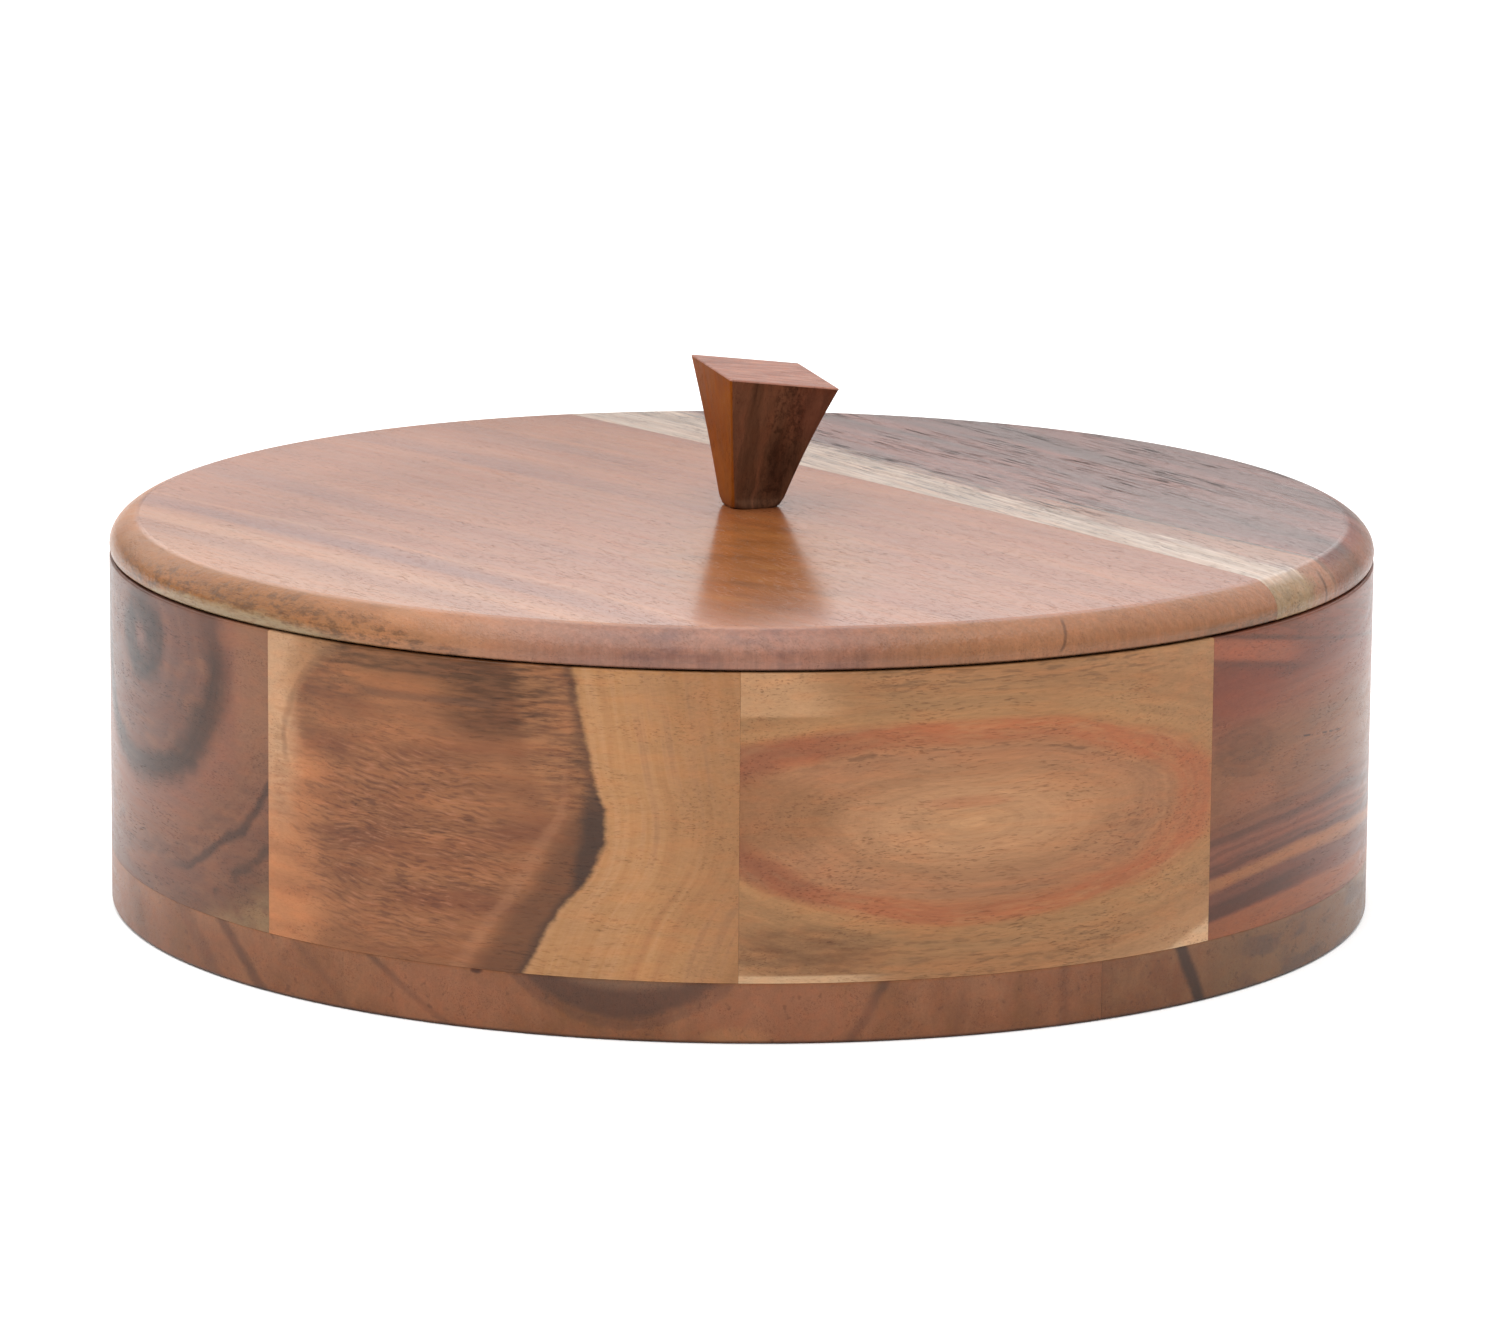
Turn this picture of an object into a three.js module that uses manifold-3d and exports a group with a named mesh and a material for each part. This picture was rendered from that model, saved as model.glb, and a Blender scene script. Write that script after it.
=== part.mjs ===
// A round wooden masala dabba (spice box), in millimetres, +Z up, origin at the centre of its underside.
// The box is a segmented ring of eight blocks on a glued-up base disc. Its lid is a glued-up disc with a
// turned rabbet underneath and a faceted knob held by one screw. Inside stand seven loose steel cups and a
// small spoon, which leans in the middle cup.
import * as THREE from "three";
import { ConvexGeometry } from "three/addons/geometries/ConvexGeometry.js";
import { mergeVertices } from "three/addons/utils/BufferGeometryUtils.js";
import Module from "manifold-3d";

const wasm = await Module();
wasm.setup();

// ---- Driving dimensions ----
const GAP = 0.3; // glue line, or clearance between two pieces that touch
const STEPS = 64; // facets round the box
const RADIUS = 120; // outside of the box and of its lid

const BASE_TOP = 11;
const BASE_EASE = 0.8; // broken edge at the foot
const BASE_JOINT_X = 65; // glue line between the two base boards

const WALL_THICKNESS = 11;
const WALL_TOP = 66.85;
const WALL_EASE = 0.6;
const SEGMENTS = 8;

const LID_BOTTOM = WALL_TOP + GAP;
const LID_TOP = 75;
const LID_CROWN = 1; // how far the top rises from the rim's rounding to the centre
const LID_RABBET_DEPTH = 4;
const LID_RABBET_CLEARANCE = 0.8; // radial play of the rabbet inside the wall
const LID_ROUND_WIDTH = 5.7; // how far the rounded rim reaches in from the edge
const LID_ROUND_FOOT = 1.5; // height of the straight part under the rounding
const LID_ROUND_END = 72; // degrees of the rim's elliptic arc before it meets the top
const LID_JOINT_OFFSET = 36.2; // glue line between the two lid boards, from the centre
const LID_GRAIN_ANGLE = 126.5; // direction of the lid boards' grain, degrees from +X

const KNOB_X = 1.6; // the knob sits slightly to one side of the lid's centre
const KNOB_TURN = 20.4; // degrees about the vertical
const KNOB_HEIGHT = 25.3; // middle of the sloping top, above the lid
const KNOB_TOP = 22.1; // side of the top square, seen from above
const KNOB_DROP = 7.2; // degrees that the top falls towards the leaning side
const KNOB_TILT = 4.1; // degrees that the top rises towards the back
const KNOB_LEAN = 2.7; // sideways shift of the top from the foot
const KNOB_WAIST = [10.8, 8]; // section where the rounded foot begins
const KNOB_WAIST_HEIGHT = 1.8;
const KNOB_FOOT = [9.6, 8.6]; // axes of the oval foot

const SCREW_RADIUS = 1.9;
const SCREW_HEAD_RADIUS = 4;
const SCREW_HEAD_HEIGHT = 2.4;
const SCREW_LENGTH = 24;
const SCREW_TIP = 3;

const CUP_HEIGHT = 40;
const CUP_RIM_RADIUS = 35;
const CUP_BODY_RADIUS = 34;
const CUP_FOOT_RADIUS = 32.6;
const CUP_WALL = 0.8;
const CUP_CORNER = 1.8; // rounding of the cup's foot
const CUP_PITCH = 71; // centre of the box to the centre of an outer cup
const CUP_STEPS = 40;

const SPOON_LENGTH = 80;
const SPOON_BOWL_LENGTH = 27;
const SPOON_BOWL_WIDTH = 20;
const SPOON_BOWL_DEPTH = 5;
const SPOON_NECK_WIDTH = 4.5;
const SPOON_HANDLE_WIDTH = 8;
const SPOON_THICKNESS = 1.2;
const SPOON_LEAN = 33.3; // degrees above the horizontal
const SPOON_TIP = [0, -27, 13.5]; // where the bowl's tip stands in the middle cup

// ---- Materials ----
const wood = (color) => new THREE.MeshStandardMaterial({ color, roughness: 0.35, metalness: 0 });
const steel = (color, roughness) => new THREE.MeshStandardMaterial({ color, roughness, metalness: 1 });
const segmentWoods = ["#b87a4c", "#c08a58", "#8c5a45", "#a8714a", "#9c6446", "#b4804f", "#8f6049", "#8a5c48"];
const lidWideWood = wood("#b0714a");
const lidNarrowWood = wood("#a08068");
const baseWood = wood("#8f5a42");
const knobWood = wood("#7c4a30");
const cupSteel = steel("#c8c9cb", 0.22);
const spoonSteel = steel("#cfd0d2", 0.18);
const screwSteel = steel("#9a9a9c", 0.35);

// ---- Solids ----
function solidOf(geometry) {
  const bare = geometry.clone();
  bare.deleteAttribute("normal");
  bare.deleteAttribute("uv");
  const merged = mergeVertices(bare, 1e-4);
  const vertProperties = new Float32Array(merged.attributes.position.array);
  const triVerts = new Uint32Array(merged.index.array);
  return new wasm.Manifold(new wasm.Mesh({ numProp: 3, vertProperties, triVerts }));
}

function geometryOf(solid) {
  const made = solid.getMesh();
  const geometry = new THREE.BufferGeometry();
  geometry.setAttribute("position", new THREE.BufferAttribute(new Float32Array(made.vertProperties), 3));
  geometry.setIndex(new THREE.BufferAttribute(new Uint32Array(made.triVerts), 1));
  geometry.computeVertexNormals();
  return geometry;
}

function meshOf(name, geometry, material) {
  const mesh = new THREE.Mesh(geometry, material);
  mesh.name = name;
  return mesh;
}

// A solid of revolution about Z. The profile's points are [radius, height], listed upwards on the outside.
function turned(profile, steps = STEPS) {
  const points = profile.map(([radius, height]) => new THREE.Vector2(radius, height));
  return new THREE.LatheGeometry(points, steps).rotateX(Math.PI / 2);
}

function prism(corners, bottom, top) {
  const outline = new THREE.Shape(corners.map(([x, y]) => new THREE.Vector2(x, y)));
  const geometry = new THREE.ExtrudeGeometry(outline, { depth: top - bottom, bevelEnabled: false });
  return geometry.translate(0, 0, bottom);
}

// Half of the space, as a block whose face runs along the given direction at an offset to its right.
function halfSpace(angle, from, to) {
  const reach = 2 * RADIUS;
  const block = prism([[-reach, from], [reach, from], [reach, to], [-reach, to]], -reach, reach);
  return solidOf(block.rotateZ(THREE.MathUtils.degToRad(angle)));
}

// ---- Base: a disc of two boards, grain front to back ----
function baseBoards() {
  const disc = solidOf(turned([
    [0, 0],
    [RADIUS - BASE_EASE, 0],
    [RADIUS, BASE_EASE],
    [RADIUS, BASE_TOP],
    [0, BASE_TOP],
  ]));
  const reach = 2 * RADIUS;
  const wide = disc.intersect(halfSpace(90, -BASE_JOINT_X + GAP / 2, reach));
  const narrow = disc.intersect(halfSpace(90, -reach, -BASE_JOINT_X - GAP / 2));
  return [
    meshOf("base_board_wide", geometryOf(wide), baseWood),
    meshOf("base_board_narrow", geometryOf(narrow), baseWood),
  ];
}

// ---- Wall: eight blocks glued into a ring, then turned round ----
function wallSegments() {
  const inside = RADIUS - WALL_THICKNESS;
  const bottom = BASE_TOP + GAP;
  const ring = solidOf(turned([
    [inside, bottom],
    [RADIUS, bottom],
    [RADIUS, WALL_TOP - WALL_EASE],
    [RADIUS - WALL_EASE, WALL_TOP],
    [inside + WALL_EASE, WALL_TOP],
    [inside, WALL_TOP - WALL_EASE],
    [inside, bottom],
  ]));
  const sweep = (2 * Math.PI) / SEGMENTS;
  const reach = (RADIUS * 1.2) / Math.cos(sweep / 2);
  const apex = GAP / 2 / Math.sin(sweep / 2); // pulls the wedge's sides in by half a glue line
  const across = Math.sin(sweep / 2) * reach;
  const ahead = apex + Math.cos(sweep / 2) * reach;
  const wedge = solidOf(prism([[apex, 0], [ahead, -across], [ahead, across]], 0, LID_TOP));
  return segmentWoods.map((color, i) => {
    const middle = -90 + (360 / SEGMENTS) * (i - 0.5);
    const block = ring.intersect(wedge.rotate([0, 0, middle]));
    return meshOf(`wall_segment_${i + 1}`, geometryOf(block), wood(color));
  });
}

// ---- Screw, and the countersunk hole that it sits in ----
function screwProfile(play) {
  const head = SCREW_HEAD_RADIUS + play;
  const shank = SCREW_RADIUS + play;
  return [
    [0, -play],
    [head, -play],
    [head, 0.3],
    [shank, SCREW_HEAD_HEIGHT + play],
    [shank, SCREW_LENGTH - SCREW_TIP + play],
    [0, SCREW_LENGTH + play],
  ];
}
const SCREW_FOOT = LID_BOTTOM - LID_RABBET_DEPTH + GAP; // just inside the rabbet's face
const SCREW_STEPS = 24;
const screwHole = solidOf(turned(screwProfile(GAP), SCREW_STEPS).translate(KNOB_X, 0, SCREW_FOOT));

// ---- Lid: a disc of two boards with a rabbet turned underneath ----
function lidProfile() {
  const rabbet = RADIUS - WALL_THICKNESS - LID_RABBET_CLEARANCE;
  const foot = LID_BOTTOM + LID_ROUND_FOOT;
  const end = THREE.MathUtils.degToRad(LID_ROUND_END);
  const width = LID_ROUND_WIDTH / (1 - Math.cos(end));
  const edge = LID_TOP - LID_CROWN;
  const height = (edge - foot) / Math.sin(end);
  const rim = [];
  const rimSteps = 6;
  for (let i = 0; i <= rimSteps; i++) {
    const turn = (end * i) / rimSteps;
    rim.push([RADIUS - width * (1 - Math.cos(turn)), foot + height * Math.sin(turn)]);
  }
  const crown = [];
  const crownSteps = 5;
  for (let i = 1; i < crownSteps; i++) {
    const part = 1 - i / crownSteps;
    crown.push([(RADIUS - LID_ROUND_WIDTH) * part, edge + LID_CROWN * (1 - part ** 2)]);
  }
  return [
    [0, LID_BOTTOM - LID_RABBET_DEPTH],
    [rabbet - 0.5, LID_BOTTOM - LID_RABBET_DEPTH],
    [rabbet, LID_BOTTOM - LID_RABBET_DEPTH + 0.5],
    [rabbet, LID_BOTTOM],
    [RADIUS - 0.9, LID_BOTTOM],
    ...rim,
    ...crown,
    [0, LID_TOP],
  ];
}

function lidBoards() {
  const disc = solidOf(turned(lidProfile())).subtract(screwHole);
  const reach = 2 * RADIUS;
  const wide = disc.intersect(halfSpace(LID_GRAIN_ANGLE, -LID_JOINT_OFFSET + GAP / 2, reach));
  const narrow = disc.intersect(halfSpace(LID_GRAIN_ANGLE, -reach, -LID_JOINT_OFFSET - GAP / 2));
  return [
    meshOf("lid_board_wide", geometryOf(wide), lidWideWood),
    meshOf("lid_board_narrow", geometryOf(narrow), lidNarrowWood),
  ];
}

// ---- Knob: a block that widens upwards, leans to one side and has a sloping top ----
function knobGeometry() {
  const drop = Math.tan(THREE.MathUtils.degToRad(KNOB_DROP));
  const tilt = Math.tan(THREE.MathUtils.degToRad(KNOB_TILT));
  const points = [];
  for (const side of [-1, 1]) {
    for (const face of [-1, 1]) {
      const along = (side * KNOB_TOP) / 2;
      const across = (face * KNOB_TOP) / 2;
      points.push(new THREE.Vector3(KNOB_LEAN + along, across, KNOB_HEIGHT - along * drop + across * tilt));
      const waistLean = (KNOB_LEAN * KNOB_WAIST_HEIGHT) / KNOB_HEIGHT;
      const [length, width] = KNOB_WAIST;
      points.push(new THREE.Vector3(waistLean + (side * length) / 2, (face * width) / 2, KNOB_WAIST_HEIGHT));
    }
  }
  const footSteps = 24;
  for (let i = 0; i < footSteps; i++) {
    const turn = (2 * Math.PI * i) / footSteps;
    const [length, width] = KNOB_FOOT;
    points.push(new THREE.Vector3((length / 2) * Math.cos(turn), (width / 2) * Math.sin(turn), 0));
  }
  const knob = new ConvexGeometry(points).rotateZ(THREE.MathUtils.degToRad(KNOB_TURN));
  return geometryOf(solidOf(knob.translate(KNOB_X, 0, LID_TOP + GAP)).subtract(screwHole));
}

function screwGeometry() {
  return turned(screwProfile(0), SCREW_STEPS).translate(KNOB_X, 0, SCREW_FOOT);
}

// ---- Cups: spun steel, with a rim rolled outwards ----
function cupGeometry() {
  const lip = 1.2; // height of the rolled rim
  return turned([
    [0, 0],
    [CUP_FOOT_RADIUS - CUP_CORNER, 0],
    [CUP_FOOT_RADIUS - CUP_CORNER * 0.3, CUP_CORNER * 0.3],
    [CUP_FOOT_RADIUS, CUP_CORNER],
    [CUP_BODY_RADIUS, CUP_HEIGHT - lip],
    [CUP_RIM_RADIUS, CUP_HEIGHT - lip * 0.8],
    [CUP_RIM_RADIUS, CUP_HEIGHT - lip * 0.2],
    [CUP_BODY_RADIUS, CUP_HEIGHT],
    [CUP_BODY_RADIUS - CUP_WALL, CUP_HEIGHT - lip * 0.5],
    [CUP_FOOT_RADIUS - CUP_WALL, CUP_CORNER + CUP_WALL],
    [CUP_FOOT_RADIUS - CUP_CORNER - CUP_WALL, CUP_WALL],
    [0, CUP_WALL],
  ], CUP_STEPS);
}

function cups() {
  const shape = cupGeometry();
  const places = [["cup_center", 0, 0]];
  for (let i = 0; i < 6; i++) {
    const turn = (Math.PI / 3) * i;
    places.push([`cup_${i + 1}`, CUP_PITCH * Math.cos(turn), CUP_PITCH * Math.sin(turn)]);
  }
  return places.map(([name, x, y]) => {
    const cup = meshOf(name, shape, cupSteel);
    cup.position.set(x, y, BASE_TOP + GAP);
    return cup;
  });
}

// ---- Spoon: a dished bowl and a flat handle, as one bent sheet along +X ----
const smooth = (t) => t * t * (3 - 2 * t);

function spoonSection(s) {
  if (s < SPOON_BOWL_LENGTH) {
    const place = s / SPOON_BOWL_LENGTH;
    const oval = Math.sqrt(Math.max(0, 1 - (2 * place - 1) ** 2));
    const neck = SPOON_NECK_WIDTH * smooth(Math.max(0, (place - 0.5) * 2));
    return { half: Math.max(0.6, neck / 2, (oval * SPOON_BOWL_WIDTH) / 2), depth: oval ** 2 * SPOON_BOWL_DEPTH };
  }
  const place = (s - SPOON_BOWL_LENGTH) / (SPOON_LENGTH - SPOON_BOWL_LENGTH);
  const endRadius = SPOON_HANDLE_WIDTH / 2;
  const left = SPOON_LENGTH - s; // the handle's end is a half circle
  const width = SPOON_NECK_WIDTH + (SPOON_HANDLE_WIDTH - SPOON_NECK_WIDTH) * smooth(place);
  const rounded = left < endRadius ? Math.sqrt(Math.max(0, endRadius ** 2 - (endRadius - left) ** 2)) : width / 2;
  return { half: Math.max(0.6, Math.min(width / 2, rounded)), depth: 0 };
}

function spoonGeometry() {
  const rows = [];
  const bowlRows = 14;
  const handleRows = 8;
  const endRows = 4;
  const across = 6;
  const handleEnd = SPOON_LENGTH - SPOON_HANDLE_WIDTH / 2;
  for (let i = 0; i < bowlRows; i++) {
    rows.push((SPOON_BOWL_LENGTH * (1 - Math.cos((Math.PI * i) / bowlRows))) / 2);
  }
  for (let i = 0; i < handleRows; i++) {
    rows.push(SPOON_BOWL_LENGTH + ((handleEnd - SPOON_BOWL_LENGTH) * i) / handleRows);
  }
  for (let i = 0; i <= endRows; i++) {
    rows.push(handleEnd + (SPOON_HANDLE_WIDTH / 2) * Math.sin((Math.PI / 2) * (i / endRows)));
  }
  const positions = [];
  for (const side of [0, -SPOON_THICKNESS]) {
    for (const s of rows) {
      const { half, depth } = spoonSection(s);
      for (let j = 0; j <= across; j++) {
        const t = (2 * j) / across - 1;
        positions.push(s, t * half, side - depth * (1 - t * t));
      }
    }
  }
  const wide = across + 1;
  const under = rows.length * wide;
  const last = (rows.length - 1) * wide;
  const index = [];
  const quad = (a, b, c, d) => index.push(a, b, c, a, c, d);
  for (let i = 0; i < rows.length - 1; i++) {
    const a = i * wide;
    const b = a + wide;
    for (let j = 0; j < across; j++) {
      quad(a + j, b + j, b + j + 1, a + j + 1);
      quad(under + a + j, under + a + j + 1, under + b + j + 1, under + b + j);
    }
    quad(a, under + a, under + b, b);
    quad(a + across, b + across, under + b + across, under + a + across);
  }
  for (let j = 0; j < across; j++) {
    quad(j, j + 1, under + j + 1, under + j);
    quad(last + j, under + last + j, under + last + j + 1, last + j + 1);
  }
  const geometry = new THREE.BufferGeometry();
  geometry.setAttribute("position", new THREE.Float32BufferAttribute(positions, 3));
  geometry.setIndex(index);
  geometry.computeVertexNormals();
  return geometry;
}

function spoon() {
  const geometry = spoonGeometry();
  geometry.rotateY(-THREE.MathUtils.degToRad(SPOON_LEAN));
  geometry.rotateZ(Math.PI / 2);
  const mesh = meshOf("spoon", geometry, spoonSteel);
  mesh.position.set(...SPOON_TIP);
  return mesh;
}

// ---- Assembly ----
const box = new THREE.Group();
box.add(...baseBoards(), ...wallSegments());

const lid = new THREE.Group();
lid.add(...lidBoards());
lid.add(meshOf("knob", knobGeometry(), knobWood));
lid.add(meshOf("knob_screw", screwGeometry(), screwSteel));

const contents = new THREE.Group();
contents.add(...cups(), spoon());

const spiceBox = new THREE.Group();
spiceBox.add(box, lid, contents);

export default spiceBox;
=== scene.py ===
"""The looks of the wooden spice box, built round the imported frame. Blender 4.5.

The row's frame: metres, +Z up, the box stands on z = 0 with its axis on the Z axis, and its front faces -Y.
Each wooden piece has its own figure: a solid pattern in millimetres, drawn by its material's nodes.
"""
from math import cos, degrees, pi, radians, sin, sqrt, tan

import bmesh
import bpy
from mathutils import Matrix, Vector


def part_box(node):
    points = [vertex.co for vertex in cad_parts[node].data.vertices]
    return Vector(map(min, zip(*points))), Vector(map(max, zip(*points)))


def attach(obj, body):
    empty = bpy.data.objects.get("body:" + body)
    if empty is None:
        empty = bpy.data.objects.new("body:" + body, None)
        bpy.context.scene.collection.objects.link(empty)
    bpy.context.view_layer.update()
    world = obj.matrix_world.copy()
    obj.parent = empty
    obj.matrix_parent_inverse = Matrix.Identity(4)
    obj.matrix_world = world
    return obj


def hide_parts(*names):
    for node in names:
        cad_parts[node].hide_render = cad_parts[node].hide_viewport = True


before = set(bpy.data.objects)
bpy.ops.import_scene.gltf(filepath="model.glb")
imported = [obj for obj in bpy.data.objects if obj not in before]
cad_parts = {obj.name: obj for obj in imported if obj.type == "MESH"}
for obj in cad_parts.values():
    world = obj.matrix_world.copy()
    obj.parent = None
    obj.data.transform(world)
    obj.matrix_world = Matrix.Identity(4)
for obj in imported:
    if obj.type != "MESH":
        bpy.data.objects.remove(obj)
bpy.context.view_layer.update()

MM = 0.001

# ---- Sizes, from the frame where it gives them ----
base_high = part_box("base_board_wide")[1]
wall_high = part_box("wall_segment_1")[1]
lid_low, lid_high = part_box("lid_board_wide")
screw_low, screw_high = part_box("knob_screw")
cup_low, cup_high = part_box("cup_center")

RADIUS = base_high.y
BASE_TOP = base_high.z
BASE_JOINT_X = 65 * MM
WALL_TOP = wall_high.z
WALL_THICKNESS = 11 * MM
SEGMENTS = 8
LID_FOOT = lid_low.z
LID_TOP = lid_high.z
LID_RABBET = 4 * MM
LID_BOTTOM = LID_FOOT + LID_RABBET
LID_CROWN = 1 * MM
LID_RIDGE = RADIUS - 5.7 * MM  # where the rounded rim meets the crowned top
RABBET_RADIUS = 108.2 * MM
LID_GRAIN_ANGLE = radians(126.5)
LID_JOINT_OFFSET = 36.2 * MM
HAIRLINE = 0.015 * MM  # half of the line that shows between two glued pieces
WOOD_GAIN = 0.68  # the wood's colours are written as they look in the studio, whose light brightens them
LID_GLOSS = 0.16

KNOB_X = (screw_low.x + screw_high.x) / 2
KNOB_TURN = radians(20.4)
KNOB_FOOT = LID_TOP + 0.05 * MM
KNOB_HEIGHT = 25.6 * MM
KNOB_TOP = 22.1 * MM
KNOB_DROP = tan(radians(7.2))
KNOB_TILT = tan(radians(4.1))
KNOB_LEAN = 2.7 * MM
KNOB_WAIST = (10.8 * MM, 8 * MM)
KNOB_WAIST_HEIGHT = 1.8 * MM
KNOB_FOOT_SIZE = (9.6 * MM, 8.6 * MM)

CUP_PITCH = 71 * MM
SPOON_LEAN = radians(33.3)
SPOON_TIP = Vector((0, -27, 13.5)) * MM
SPOON_LENGTH = 80 * MM
SPOON_BOWL_LENGTH = 27 * MM
SPOON_BOWL_WIDTH = 20 * MM
SPOON_BOWL_DEPTH = 5 * MM
SPOON_NECK_WIDTH = 4.5 * MM
SPOON_HANDLE_WIDTH = 8 * MM
SPOON_THICKNESS = 1.1 * MM


# ---- Node trees ----
def linear(code):
    """A six-digit sRGB colour code as linear red, green, blue and alpha."""
    parts = [int(code[i:i + 2], 16) / 255 for i in (0, 2, 4)]
    return tuple(c / 12.92 if c <= 0.04045 else ((c + 0.055) / 1.055) ** 2.4 for c in parts) + (1.0,)


class Value:
    """A number that varies over the surface. Arithmetic on it adds Math nodes."""

    def __init__(self, shader, socket):
        self.shader = shader
        self.socket = socket

    def math(self, operation, *others, first=None):
        node = self.shader.node("ShaderNodeMath", operation=operation)
        values = (self, *others) if first is None else (first, self)
        for slot, value in zip(node.inputs, values):
            self.shader.feed(slot, value)
        return Value(self.shader, node.outputs[0])

    def __add__(self, other):
        return self.math("ADD", other)

    def __sub__(self, other):
        return self.math("SUBTRACT", other)

    def __mul__(self, other):
        return self.math("MULTIPLY", other)

    def __truediv__(self, other):
        return self.math("DIVIDE", other)

    def __rsub__(self, other):
        return self.math("SUBTRACT", first=other)

    __radd__ = __add__
    __rmul__ = __mul__

    def __abs__(self):
        return self.math("ABSOLUTE")

    def below(self, limit):
        """This value, but no more than limit."""
        return self.math("MINIMUM", limit)

    def above(self, limit):
        """This value, but no less than limit."""
        return self.math("MAXIMUM", limit)

    def root(self):
        return self.math("SQRT")

    def step(self, start, end):
        """A soft step from 0 at start to 1 at end, whichever is the larger."""
        node = self.shader.node("ShaderNodeMapRange", interpolation_type="SMOOTHSTEP")
        self.shader.feed(node.inputs[0], self)
        low, high = min(start, end), max(start, end)
        self.shader.feed(node.inputs[1], low)
        self.shader.feed(node.inputs[2], high)
        result = Value(self.shader, node.outputs[0])
        return result if start < end else 1 - result

    def band(self, middle, half, soft):
        """1 within half of middle, fading to 0 over soft on both sides."""
        return abs(self - middle).step(half + soft, half)


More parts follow.
